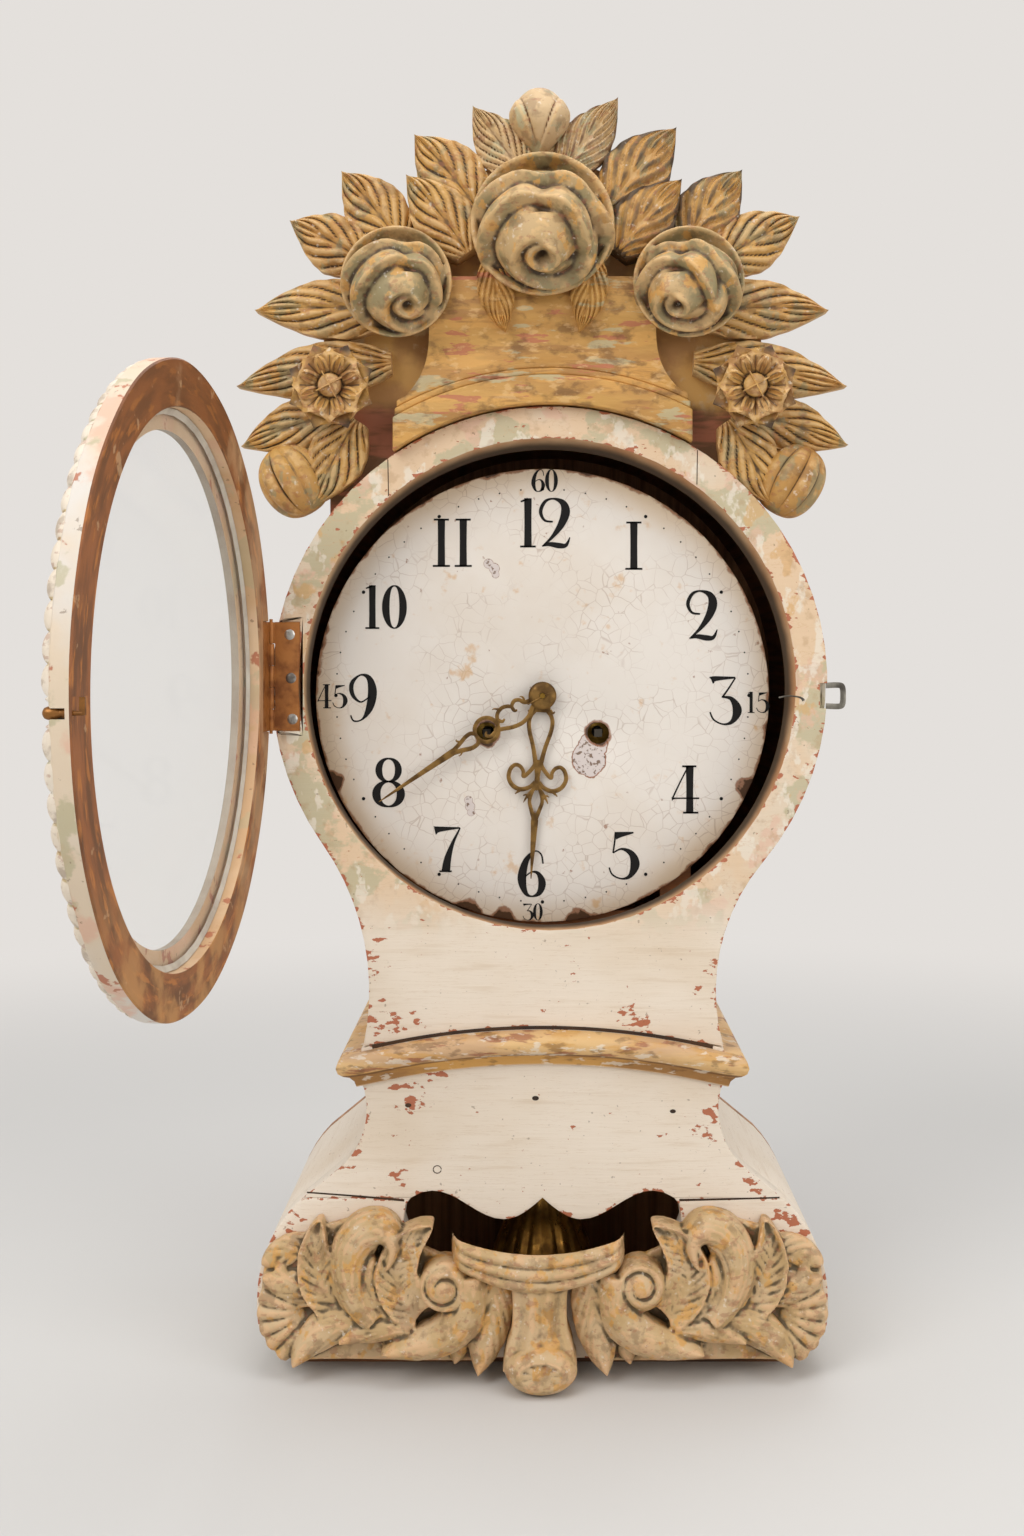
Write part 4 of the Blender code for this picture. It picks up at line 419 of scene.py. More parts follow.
def caseFinish(name):  # cream paint on boards, patchy old layers on the ring round the dial
    coat, tree, shader, where = newFinish(name, 0.62)
    split = axes(tree, where)
    streak = fuzz(tree, where, 16, 6, (1, 1, 16))
    colour = layered(tree, where, tint["cream"], (7, 3, (1, 1, 1.6), 0.40, 0.68, 0.6, "oldCream"))
    colour = over(tree, ease(tree, streak, 0.54, 0.74, 0, 0.30), colour, tint["grain"])
    hair = thinLines(tree, fuzz(tree, where, 17, 5, (1, 1, 26)), 0.010)
    colour = over(tree, times(tree, hair, 0.38), colour, tint["grain"])

    fromMiddle = flatRadius(tree, where, clock["headX"], clock["headZ"])
    ring = times(tree, ease(tree, fromMiddle, 0.166, 0.174), ease(tree, split["Z"], 0.300, 0.345))
    patchy = layered(tree, where, tint["oldCream"],
                     (15, 7, even, 0.38, 0.54, 1, "peach"), (21, 7, (1, 1, 1.3), 0.51, 0.55, 0.8, "sage"),
                     (26, 7, even, 0.56, 0.60, 0.6, "pink"), (18, 7, (1.2, 1, 1), 0.57, 0.60, 0.6, "ochre"),
                     (44, 8, (1.5, 1, 1), 0.55, 0.60, 0.7, "ivory"))
    scratch = thinLines(tree, fuzz(tree, where, 20, 5, (1, 1, 3)), 0.006)
    patchy = over(tree, times(tree, scratch, 0.5), patchy, tint["beige"])
    patchy = layered(tree, where, patchy, (90, 8, even, 0.54, 0.68, 0.35, "bronze"))
    colour = over(tree, times(tree, ring, 0.9), colour, patchy)

    front = ease(tree, split["Y"], -0.1070, -0.1088)
    sore = reckon(tree, "MAXIMUM", times(tree, spotted(tree, where, flaked), soreness),
                  times(tree, kept(tree, "edge"), soreness))
    sore = plus(tree, sore, times(tree, ring, 0.015))
    fleck = plus(tree, fuzz(tree, where, 115, 8, (1, 1, 1.9)), times(tree, sore, front))
    bare = ease(tree, fleck, 0.700, 0.715)
    colour = over(tree, bare, colour, tint["terracotta"])
    colour = layered(tree, where, colour, (260, 2, even, 0.71, 0.75, 0.45, "umber"))
    coloured(tree, shader, colour)
    roughened(tree, shader, reckon(tree, "SUBTRACT", streak, times(tree, bare, 0.8)), 0.0006, 0.45)
    return coat


def carvedFinish(name, base, second, third, edge, hollow, scale=24, flake=0.62, wear=0.85, broken=0.55):
    # paint on carving: two mixed colours, bare edges where it stands proud, dirt and painted shade where it is hollow
    coat, tree, shader, where = newFinish(name, 0.58)
    proud = kept(tree, "relief")
    colour = layered(tree, where, tint[base], (scale, 5, even, 0.42, 0.58, 1, second),
                     (scale * 1.9, 7, (1.4, 1, 1), flake - 0.04, flake, 0.8, third))
    fine = times(tree, reckon(tree, "SUBTRACT", fuzz(tree, where, 90, 6), 0.5), broken)
    colour = over(tree, ease(tree, plus(tree, proud, fine), 0.60, 0.76, 0, wear), colour, tint[edge])
    # dirt together with painted shade: the hollow colour darkens every recess and crease by the relief
    dirtAndShade = ease(tree, plus(tree, proud, times(tree, fine, 0.5)), 0.46, 0.14, 0, 0.95)
    colour = over(tree, dirtAndShade, colour, tint[hollow])
    colour = layered(tree, where, colour, (85, 8, even, 0.52, 0.64, 0.40, "umber"),
                     (150, 9, (1, 1, 1.7), 0.57, 0.63, 0.40, "redBrown"),
                     (230, 6, even, 0.62, 0.70, 0.45, "ivory"))
    coloured(tree, shader, colour)
    roughened(tree, shader, fuzz(tree, where, 110, 6), 0.0009, 0.5)
    return coat


def streakFinish(name, base, second, pale, dark, scale=9):  # old layers that show in streaks along the grain
    coat, tree, shader, where = newFinish(name, 0.58)
    long = (1, 1, 5)
    coloured(tree, shader, layered(
        tree, where, tint[base], (scale, 6, long, 0.42, 0.58, 1, second),
        (scale * 1.6, 7, long, 0.53, 0.60, 0.75, pale), (scale * 1.3, 7, (1, 1, 8), 0.56, 0.62, 0.8, dark),
        (scale * 2.3, 7, (1, 1, 4), 0.60, 0.63, 0.7, "sage"), (scale * 2.8, 7, long, 0.59, 0.62, 0.85, "terracotta"),
        (70, 9, (1, 1, 1.6), 0.50, 0.66, 0.60, "umber"), (95, 9, (1, 1, 2), 0.56, 0.66, 0.45, "paleGold")))
    roughened(tree, shader, fuzz(tree, where, 60, 6, (1, 1, 4)), 0.0012, 0.6)
    return coat


def mouldingFinish(name):  # peach on the roll, ochre in the hollow under it, painted shade along the crease
    coat, tree, shader, where = newFinish(name, 0.58)
    rise, creaseAt = kept(tree, "rise"), 0.36
    streak = fuzz(tree, where, 11, 7, (1, 1, 5))
    roll = over(tree, ease(tree, streak, 0.40, 0.60), tint["beige"], tint["paleGold"])
    roll = layered(tree, where, roll, (24, 8, (1, 1, 4), 0.52, 0.60, 0.7, "ochre"),
                   (30, 8, (1, 1, 6), 0.56, 0.62, 0.8, "redBrown"))
    hollow = over(tree, ease(tree, streak, 0.42, 0.60), tint["ochre"], tint["bronze"])
    colour = over(tree, ease(tree, rise, creaseAt, 0.42), hollow, roll)
    # painted shade: a dark umber line in the crease under the roll
    crease = ease(tree, fromPoint(tree, rise, creaseAt), 0.015, 0.06, 0.75, 0.0)
    colour = over(tree, crease, colour, tint["umber"])
    colour = over(tree, ease(tree, rise, 0.05, 0.02, 0, 0.8), colour, tint["peach"])
    colour = layered(tree, where, colour, (70, 8, (1, 1, 2.6), 0.54, 0.64, 0.5, "umber"),
                     (85, 8, (1, 1, 3), 0.58, 0.64, 0.6, "ivory"))
    coloured(tree, shader, colour)
    roughened(tree, shader, fuzz(tree, where, 60, 6, (1, 1, 4)), 0.0012, 0.6)
    return coat


def groundFinish(name):  # ochre over the board behind the flowers, bare and dark towards the head
    coat, tree, shader, where = newFinish(name, 0.6)
    painted = layered(tree, where, tint["gold"], (26, 6, even, 0.40, 0.60, 1, "bronze"),
                      (34, 6, even, 0.52, 0.58, 0.8, "stone"))
    bare = layered(tree, where, tint["redBrown"], (18, 6, (1, 1, 6), 0.42, 0.58, 1, "umber"))
    up = plus(tree, axes(tree, where)["Z"], times(tree, fuzz(tree, where, 40, 6), 0.03))
    coloured(tree, shader, over(tree, ease(tree, up, 0.700, 0.686), painted, bare))
    roughened(tree, shader, fuzz(tree, where, 80, 6), 0.0008, 0.5)
    return coat


def rimFinish(name, base, second, rest=0.7):  # pale paint, older layers through it in small patches
    coat, tree, shader, where = newFinish(name, 0.6)
    coloured(tree, shader, layered(
        tree, where, tint[base], (11, 4, even, 0.42, 0.60, 1, second), (17, 6, even, 0.54, 0.60, rest, "pink"),
        (23, 7, even, 0.58, 0.62, rest, "sage"), (48, 7, even, 0.62, 0.65, 0.9, "terracotta"),
        (150, 4, even, 0.66, 0.70, 0.5, "umber")))
    roughened(tree, shader, fuzz(tree, where, 70, 6), 0.0008, 0.5)
    return coat


def plankFinish(name, pale, dark, stretch, deep="darkWood"):  # bare wood with its grain one way
    coat, tree, shader, where = newFinish(name, 0.6)
    grain = fuzz(tree, where, 12, 7, stretch)
    colour = over(tree, ease(tree, grain, 0.30, 0.74), tint[pale], tint[dark])
    colour = layered(tree, where, colour, (9, 5, even, 0.54, 0.70, 0.50, deep))
    pores = thinLines(tree, fuzz(tree, where, 34, 4, stretch), 0.02)
    coloured(tree, shader, over(tree, times(tree, pores, 0.4), colour, tint[deep]))
    roughened(tree, shader, grain, 0.0008, 0.4)
    return coat


def bandFinish(name):  # the head's bent sides: cream paint outside, bare brown wood inside
    coat, tree, shader, where = newFinish(name, 0.62)
    grain = fuzz(tree, where, 12, 7, (1, 0.4, 16))
    inside = over(tree, ease(tree, grain, 0.30, 0.74), tint["wood"], tint["darkWood"])
    outside = layered(tree, where, tint["cream"], (7, 3, even, 0.40, 0.68, 0.6, "oldCream"))
    outside = over(tree, ease(tree, grain, 0.54, 0.74, 0, 0.30), outside, tint["grain"])
    outside = layered(tree, where, outside, (115, 8, (1, 1, 1.9), 0.675, 0.690, 1, "terracotta"))
    apart = flattened(tree, aim(tree, "SUBTRACT", where, (clock["headX"], 0, clock["headZ"])))
    away = aim(tree, "DOT_PRODUCT", apart, put(tree, "NewGeometry", {}).outputs["Normal"])
    coloured(tree, shader, over(tree, ease(tree, away, -0.001, 0.001), inside, outside))
    roughened(tree, shader, grain, 0.0006, 0.4)
    return coat


def revealShadeFinish(name):  # tan at the front edge of the dial opening, with painted shade darkening it towards its back
    coat, tree, shader, where = newFinish(name, 0.6)
    deep = plus(tree, axes(tree, where)["Y"], times(tree, fuzz(tree, where, 40, 5), 0.006))
    colour = layered(tree, where, tint["beige"], (18, 6, even, 0.42, 0.60, 1, "paleWood"))
    # painted shade: the opening's wall goes dark towards the back
    dark = ease(tree, deep, clock["frontY"] + 0.003, clock["frontY"] + 0.019)
    coloured(tree, shader, over(tree, dark, colour, tint["shade"]))
    return coat


def metalFinish(name, light, dark, rough, metal=1.0, scale=60):
    coat, tree, shader, where = newFinish(name, rough, metal)
    mottled = ease(tree, fuzz(tree, where, scale, 5), 0.40, 0.66)
    coloured(tree, shader, over(tree, mottled, linear(light), linear(dark)))
    dull = ease(tree, fuzz(tree, where, scale * 2, 4), 0.3, 0.7, rough - 0.1, rough + 0.15)
    tree.links.new(dull, shader.inputs["Roughness"])
    return coat


def plainFinish(name, code, rough):
    coat, tree, shader, where = newFinish(name, rough)
    coloured(tree, shader, layered(tree, where, linear(code), (40, 5, even, 0.35, 0.7, 0.35, "umber")))
    return coat


def glassFinish(name):
    coat, tree, shader, where = newFinish(name, 0.04)
    shader.inputs["Base Color"].default_value = linear("#DDE4E2")
    shader.inputs["IOR"].default_value = 1.5
    shader.inputs["Alpha"].default_value = 0.08
    return coat


finish = {
    "case": caseFinish("case_paint"),
    # the fifth colour of each carved finish is dirt and painted shade in its hollows
    "leaf": carvedFinish("leaf_paint", "mustard", "gold", "greyGreen", "straw", "shade", 26, 0.58, 0.60, 0.9),
    "bud": carvedFinish("bud_paint", "paleStone", "stone", "sage", "straw", "umber", 30, 0.58, 0.55, 0.8),
    "rose": carvedFinish("rose_paint", "stone", "greyGreen", "ochre", "paleGold", "shade", 34, 0.60, 0.50, 1.6),
    "daisy": carvedFinish("daisy_paint", "gold", "bronze", "straw", "paleGold", "shade", 60, 0.62),
    "plinth": streakFinish("plinth_paint", "gold", "mustard", "ochre", "bronze"),
    "apron": carvedFinish("apron_paint", "paleStone", "stone", "ochre", "pinkTan", "deepOlive", 34, 0.60, 0.55, 1.4),
    "moulding": mouldingFinish("moulding_paint"),
    "openingEdgeShade": revealShadeFinish("opening_edge_painted_shade"),
    "beads": carvedFinish("bead_paint", "ivory", "paleOlive", "sage", "cream", "umber", 34, 0.58),
    "ground": groundFinish("ground_paint"),
    "bob": metalFinish("bob_brass", "#B8863A", "#7A5420", 0.34, 0.75),
    "insideWood": plankFinish("inside_wood", "wood", "darkWood", (1, 0.4, 16), "shade"),
    "band": bandFinish("band_paint"),
    "seatWood": plankFinish("seat_wood", "rawWood", "wood", (1, 1, 12)),
    "rim": rimFinish("rim_paint", "rimWhite", "oldCream"),
    "backWood": plankFinish("back_wood", "paleWood", "wood", (16, 1, 0.4), "wood"),
    "rabbet": rimFinish("rabbet_paint", "beige", "peach", 0.45),
    "lip": plainFinish("lip_paint", "#A89A88", 0.6),
    "brass": metalFinish("brass", "#A8853E", "#6E5220", 0.34),
    "darkBrass": metalFinish("dark_brass", "#8A6A3A", "#5A4224", 0.42, 0.85, 120),
    "knob": metalFinish("knob_brass", "#8E5E2A", "#5C3A18", 0.40, 0.6, 90),
    "steel": metalFinish("steel", "#B8B6B0", "#6E6862", 0.34),
    "arbor": metalFinish("arbor_steel", "#4A4640", "#2A2622", 0.5),
    "oldSteel": metalFinish("old_steel", "#8C887E", "#54504A", 0.42),
    "copper": metalFinish("copper_brown", "#A66A32", "#7C481E", 0.48, 0.40, 70),
    "glass": glassFinish("clear_glass"),
    "putty": plainFinish("grey_putty", "#CFC8BA", 0.55),
}
print("finishes made,", len(finish))

# case boards with worn edges

def markEdges(board, reach):  # a strip round the front that knows its outer side, for paint rubbed off there
    pick(board)
    for face in board.data.polygons:
        face.select = face.normal.y < -0.99
    bpy.ops.object.mode_set(mode="EDIT")
    bpy.ops.mesh.inset(thickness=reach, use_even_offset=False)
    bpy.ops.object.mode_set(mode="OBJECT")
    inner = {corner for face in board.data.polygons if face.select for corner in face.vertices}
    layer = board.data.attributes.new("edge", "FLOAT", "POINT")
    for vert in board.data.vertices:
        layer.data[vert.index].value = 0.0 if vert.index in inner else 1.0


def wornBoard(nodeName, name):
    board = eased(nodeName, name, 0.0010)
    markEdges(board, 0.0032)
    given(board, "case", finish["case"], "cream_paint", nodeName)
    # the dial opening's wall in this board takes the reveal finish, with its painted shade
    board.data.materials.append(finish["openingEdgeShade"])
    for face in board.data.polygons:
        out = math.hypot(face.center.x - clock["headX"], face.center.z - clock["headZ"])
        if abs(face.normal.y) < 0.08 and out < clock["headR"] - 0.020 and face.center.z > 0.29:
            face.material_index = 1


for nodeName, name in (("head_front_board", "head_front"), ("base_front_upper", "base_upper_plank"),
                       ("base_front_lower", "base_lower_plank"), ("base_side_left", "base_left_side"),
                       ("base_side_right", "base_right_side")):
    wornBoard(nodeName, name)

# waist moulding: each point keeps its height over the arched foot, for the roll's and the hollow's paint
waist = {"height": 0.024, "archR": 0.525, "topZ": 0.2407, "half": 0.1268}


def markRise(shape):
    layer = shape.data.attributes.new("rise", "FLOAT", "POINT")
    for vert in shape.data.vertices:
        across = min(abs(vert.co.x), waist["half"])
        if vert.co.y > clock["frontY"] + 0.001:
            across = waist["half"]
        drop = waist["archR"] - math.sqrt(waist["archR"] ** 2 - across ** 2)
        layer.data[vert.index].value = (vert.co.z - waist["topZ"] + drop) / waist["height"] + 1
    return shape


for nodeName, name in (("waist_moulding_front", "moulding_front"), ("waist_moulding_left", "moulding_left"),
                       ("waist_moulding_right", "moulding_right")):
    given(markRise(eased(nodeName, name, 0.0006, 3)), "case", finish["moulding"], "cream_paint", nodeName)

# the dial opening narrows towards the back of its board
reveal = {"frontR": 0.1722, "backR": 0.1685, "lip": 0.0008, "aside": -0.0015, "down": -0.0025, "movedR": 0.17}
low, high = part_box("head_front_board")
depth = high.y - low.y - 2 * reveal["lip"]
splay = lathe("opening_reveal", [(reveal["backR"], 0), (reveal["frontR"], 0), (reveal["frontR"], depth)], 120,
              facingOut(clock["headX"], high.y - reveal["lip"], clock["headZ"]))
for vert in splay.data.vertices:  # its narrow end is a little out of the middle
    out = math.hypot(vert.co.x - clock["headX"], vert.co.z - clock["headZ"])
    if vert.co.y > high.y - 2 * reveal["lip"] and out < reveal["movedR"]:
        vert.co += Vector((reveal["aside"], 0, reveal["down"]))
given(softened(splay, 40), "case", finish["openingEdgeShade"], "bare_wood")

# open joints, old nail holes and a knot, as thin dark marks on the boards; in the joints they are painted shade in the
# gaps
marks = {"proud": 0.00015, "sunk": 0.0003, "sweepTop": 0.2419, "sweep": math.radians(13.1)}
faceY = clock["frontY"] - marks["proud"]


def neckJoint():  # painted shade of the gap over the moulding, along the neck's arched foot
    turns = [marks["sweep"] * (step / 12 - 1) for step in range(25)]
    return [(waist["archR"] * math.sin(turn), marks["sweepTop"] - waist["archR"] * (1 - math.cos(turn)), 0.0012)
            for turn in turns]


joints = [neckJoint(), [(-0.1645, 0.1268, 0.0005), (-0.130, 0.1242, 0.0006), (-0.0965, 0.1212, 0.0008)],
          [(0.0955, 0.1214, 0.0008), (0.130, 0.1221, 0.0006), (0.1655, 0.1232, 0.0005)],
          [(-0.1075, 0.6130, 0.0003), (-0.1080, 0.6385, 0.0003)], [(0.1078, 0.6210, 0.0003), (0.1082, 0.6450, 0.0003)]]
holes = [(-0.0938, 0.1876, 0.0015), (-0.0049, 0.1925, 0.0016), (0.0910, 0.1834, 0.0014)]
dark = [stroke(line, faceY, faceY + marks["sunk"], along=40) for line in joints]
dark += [slab("hole", [(x + 1.5 * r * math.cos(a), z + r * math.sin(a)) for a in np.linspace(0, 2 * math.pi, 17)[:-1]],
              faceY, faceY + marks["sunk"]) for x, z, r in holes]
knot = [(-0.0735 + 0.0028 * math.cos(a), 0.1428 + 0.0026 * math.sin(a), 0.0003) for a in np.linspace(0, 6.0, 20)]
dark.append(stroke(knot, faceY, faceY + marks["sunk"], along=40))
given(joined(dark, "open_joints"), "case", plainFinish("joint_shadow", "#2E2016", 0.8), "bare_wood")
print("case boards worn")

# crest: sprays of leaves, roses, daisies, buds and the plinth that carries them

def bezierAt(points, share):  # a point on the smooth curve that a few control points draw
    spots = [Vector(point) for point in points]
    while len(spots) > 1:
        spots = [first.lerp(second, share) for first, second in zip(spots, spots[1:])]
    return spots[0]


def carvedLeaf(name, spine, leaf, wall):  # a blade along a spine in the front plane, ridged by its veins
    sheet = gridSheet(name, leaf.get("across", 30), leaf.get("along", 52))
    root, blunt = leaf.get("root", 0.13), leaf.get("blunt", 0.85)
    lobes, lobeDepth = leaf.get("lobes", 0), leaf.get("lobeDepth", 0.0)

    def place(u, v):
        ahead = bezierAt(spine, min(v + 0.01, 1)) - bezierAt(spine, max(v - 0.01, 0))
        side = Vector((-ahead.y, ahead.x)).normalized()
        half = leaf["width"] / 2 * max(math.sin(math.pi * (root + (1 - root) * v)), 0) ** blunt
        half *= 1 - lobeDepth * (0.5 + 0.5 * math.cos(2 * math.pi * lobes * v))
        half *= 1 + 0.022 * math.sin(31 * v + 5 * spine[0][0] / leaf["width"]) * math.sin(9 * v + u)
        spot = bezierAt(spine, v) + side * (u * half)
        slant = v - leaf.get("slant", 0.78) * abs(u)
        groove = (0.5 - 0.5 * math.cos(2 * math.pi * leaf["veins"] * slant)) ** leaf.get("narrow", 1.6)
        groove *= min(1, abs(u) * 5) * min(1, (1 - v) * 6)
        height = leaf["lift"] + leaf["crown"] * (1 - u * u) + leaf.get("curl", 0) * v * v + leaf.get("lean", 0) * u
        height -= leaf["ribDepth"] * math.exp(-(u / 0.10) ** 2) * min(1, (1 - v) * 8)
        height -= leaf["veinDepth"] * groove
        return spot.x, wall - height, spot.y

    return backed(shapeSheet(sheet, place), wall)


# one row to a leaf: root, left tip, right tip, width, how far it stands forward
sprayLeaves = [
    ((0.046, 0.815), (0.090, 0.867), (0.094, 0.872), 0.047, 0.000),
    ((0.100, 0.790), (0.141, 0.841), (0.140, 0.842), 0.044, 0.001),
    ((0.122, 0.776), (0.177, 0.806), (0.180, 0.809), 0.042, 0.002),
    ((0.104, 0.742), (0.201, 0.743), (0.200, 0.743), 0.042, 0.004),
    ((0.106, 0.707), (0.214, 0.690), (0.213, 0.690), 0.039, 0.003),
    ((0.134, 0.674), (0.211, 0.648), (0.214, 0.649), 0.037, 0.002),
    ((0.130, 0.666), (0.160, 0.607), (0.161, 0.607), 0.040, 0.006),
    ((0.052, 0.782), (0.095, 0.836), (0.097, 0.833), 0.042, 0.010),
]
sprayLeaf = {"lift": 0.0065, "crown": 0.0050, "ribDepth": 0.0026, "veinDepth": 0.0024, "veins": 4.4,
             "slant": 0.62, "narrow": 3.0, "blunt": 0.95}


def sprayBlade(row, side):
    root, leftTip, rightTip, width, forward = row
    tip = Vector((leftTip if side < 0 else rightTip))
    start, end = Vector((side * root[0], root[1])), Vector((side * tip.x, tip.y))
    bend = Vector((-(end - start).y, (end - start).x)) * 0.05 * side
    shape = dict(sprayLeaf, width=width, lift=sprayLeaf["lift"] + 1.1 * forward)
    return carvedLeaf("blade", [start, start.lerp(end, 0.5) + bend, end], shape, clock["crestFaceY"])


bud = {"radius": 0.0232, "height": 0.052, "lobes": 9, "crease": 0.30, "lean": 30}


def hangingBud(side):  # a plump bud whose petals fan out of its stalk, hanging out of the spray
    sheet = gridSheet("bud", 112, 44)

    def place(u, v):
        around, down = math.pi * u, math.pi * v
        crease = abs(math.sin(bud["lobes"] * around / 2 + 0.35 * side)) ** 0.40
        radius = bud["radius"] * math.sin(down) ** (0.90 - 0.22 * v) * (1 - bud["crease"] * (1 - crease) * (1 - 0.5 * v))
        return radius * math.cos(around), radius * math.sin(around), bud["height"] / 2 * math.cos(down)

    shapeSheet(sheet, place)
    lean = Matrix.Rotation(math.radians(side * bud["lean"]), 4, "Y")
    sheet.data.transform(Matrix.Translation((side * 0.1755, clock["crestFaceY"] - 0.004, 0.6250)) @ lean)
    return outward(sheet, 1e-6)


def headArc(radius, fromX, toX, steps):  # points round the head's circle between two places across
    first = math.acos((fromX - clock["headX"]) / radius)
    last = math.acos((toX - clock["headX"]) / radius)
    turns = [first + (last - first) * step / steps for step in range(steps + 1)]
    return [(clock["headX"] + radius * math.cos(turn), clock["headZ"] + radius * math.sin(turn)) for turn in turns]


ground = {"backY": -0.0797, "overR": 0.2252,
          "edge": [(0.150, 0.640), (0.160, 0.690), (0.152, 0.740), (0.134, 0.780), (0.100, 0.800),
                   (0.062, 0.836), (0.036, 0.846), (0.0345, 0.8258), (-0.0004, 0.8258)]}


def sprayGround(side):  # the bare board that the leaves are carved on, seated on the head
    seat = headArc(clock["headR"] + 0.0003, side * 0.0950, side * 0.1500, 14)
    edge = [(side * x, z) for x, z in ground["edge"]]
    shape = seat + edge + headArc(ground["overR"], -side * 0.0004, side * 0.0950, 12)
    return slab("ground", shape, clock["crestFaceY"], ground["backY"])


for side, sideName in ((-1, "left"), (1, "right")):
    parts = [sprayBlade(row, side) for row in sprayLeaves] + [hangingBud(side)]
    spray = softened(joined(parts, "spray_" + sideName), 50)
    markRelief(spray, 0.0016, 6)
    given(spray, "case", finish["leaf"], "ochre_paint", "crest_leaves_" + sideName)
    given(sprayGround(side), "case", finish["ground"], "bare_wood").name = "spray_ground_" + sideName
print("sprays carved")

# plinth under the flowers: an arched fascia, two thin steps and a body with hollow sides
plinth = {"half": 0.104, "topHalf": 0.079, "topZ": 0.766, "backY": -0.080,
          "bands": [(0.1952, 0.2150, -0.1200), (0.2152, 0.2200, -0.1172), (0.2202, 0.2245, -0.1150)]}


def archedBand(name, lowR, highR, frontY, half):
    low = headArc(lowR, -half, half, 48)
    high = headArc(highR, half, -half, 48)
    band = slab(name, low + high, frontY, plinth["backY"])
    edge = band.modifiers.new("edge", "BEVEL")
    edge.width = 0.0011
    edge.segments = 3
    edge.limit_method = "ANGLE"
    return pressAll(band)


def plinthBody():  # its face leans back from the ledge to the top
    sheet = gridSheet("plinth_body", 60, 40)

    def place(u, v):
        low = clock["headZ"] + math.sqrt(0.2225 ** 2 - (u * plinth["half"] * 0.97 - clock["headX"]) ** 2)
        waist = plinth["topHalf"] + (0.97 * plinth["half"] - plinth["topHalf"]) * max(0, 1 - 1.5 * v) ** 3
        height = low + (plinth["topZ"] - low) * v
        hollow = 0.0060 * math.sin(math.pi * min(1, 1.6 * v)) + 0.0060 * max(0, v - 0.55)
        return u * waist, -0.1145 + hollow, height

    return backed(shapeSheet(sheet, place), plinth["backY"])


plinthLeaf = dict(sprayLeaf, width=0.026, lift=0.012, crown=0.004, veins=5)
plinthParts = [archedBand("band", low, high, front, plinth["half"] - 0.0012 * step)
               for step, (low, high, front) in enumerate(plinth["bands"])]
plinthParts.append(plinthBody())
for side in (-1, 1):
    spine = [(side * 0.034, 0.782), (side * 0.034, 0.752), (side * 0.0255, 0.727)]
    plinthParts.append(carvedLeaf("plinth_leaf", spine, plinthLeaf, -0.106))
plinthBlock = softened(joined(plinthParts, "plinth"), 40)
markRelief(plinthBlock, 0.0020, 4)
given(plinthBlock, "case", finish["plinth"], "ochre_paint", "crest_plinth")
print("plinth made")

# roses: a dished brim with a spiral of petals that leans out of it
rose = {"bowl": 0.80, "rise": 0.40, "hang": 0.07, "lip": 0.27, "pitch": math.radians(39), "reach": math.radians(118)}


def roseBowl(radius, tiltDown, turnIn):
    sheet = gridSheet("petals", 150, 72)

    def place(u, v):
        around, down = math.pi * u, rose["reach"] * v
        fold = around - math.pi / 2  # petals meet over the middle, at the top
        wave = 0.16 * math.sin(2 * around + 0.9) + 0.09 * math.sin(3 * around + 0.4)
        phase = (down / rose["pitch"] - around / (2 * math.pi) + wave * min(1, v * 2)) % 1
        lip = (phase / 0.13) ** 0.7 if phase < 0.13 else (1 - (phase - 0.13) / 0.87) ** 1.1
        seam = math.exp(-(fold / 0.22) ** 2) * (0.6 if v > 0.40 else 0.0)
        seam += 0.35 * math.exp(-((around + 0.9 - 2.2 * v) / 0.18) ** 2) * min(1, v * 3)
        deep = rose["lip"] * min(1, v * 5) * min(1, (1 - v) * 6)
        swell = 1 + deep * (lip - 0.45 - seam)
        swell += 0.12 * math.exp(-((v - 0.10) / 0.035) ** 2) - 0.22 * math.exp(-(v / 0.045) ** 2)
        out = radius * rose["bowl"] * swell
        return (out * math.sin(down) * math.cos(around) * 1.13, out * math.sin(down) * math.sin(around),
                out * math.cos(down) * 0.95)

    shapeSheet(sheet, place)
    lean = Matrix.Rotation(math.radians(turnIn), 4, "Y") @ Matrix.Rotation(math.radians(tiltDown), 4, "X")
    sheet.data.transform(Matrix.Translation((0, -rose["hang"] * radius, radius * rose["rise"])) @ lean)
    return capped(outward(sheet, 1e-6))


def carvedRose(name, x, z, radius, tiltDown, turnIn):
    brim = [(0, -0.02), (0.60, -0.02), (0.86, 0.16), (1.0, 0.42), (0.985, 0.47), (0.93, 0.45), (0.80, 0.26),
            (0.45, 0.16), (0, 0.16)]
    parts = [lathe("brim", [(r * radius, h * radius) for r, h in brim], 72), roseBowl(radius, tiltDown, turnIn)]
    for part in parts:
        part.data.transform(facingOut(x, clock["crestFaceY"] - 0.008, z))
    stalk = lathe("stalk", [(0, 0), (0.4 * radius, 0), (0.4 * radius, 0.012), (0, 0.012)], 40)
    stalk.data.transform(facingOut(x, clock["crestFaceY"], z))
    flower = oneCarving(parts + [stalk], "carved_" + name, 0.0011, 2)
    markRelief(flower, 0.0013, 14)
    return given(flower, "case", finish["rose"], "sage_paint", name)


carvedRose("rose_centre", 0.0, 0.800, 0.050, 42, 0)
carvedRose("rose_left", -0.1015, 0.761, 0.039, 38, 24)
carvedRose("rose_right", 0.1015, 0.761, 0.039, 38, -24)
print("roses carved")

daisy = {"radius": 0.0310, "petals": 8, "buttonR": 0.0085}


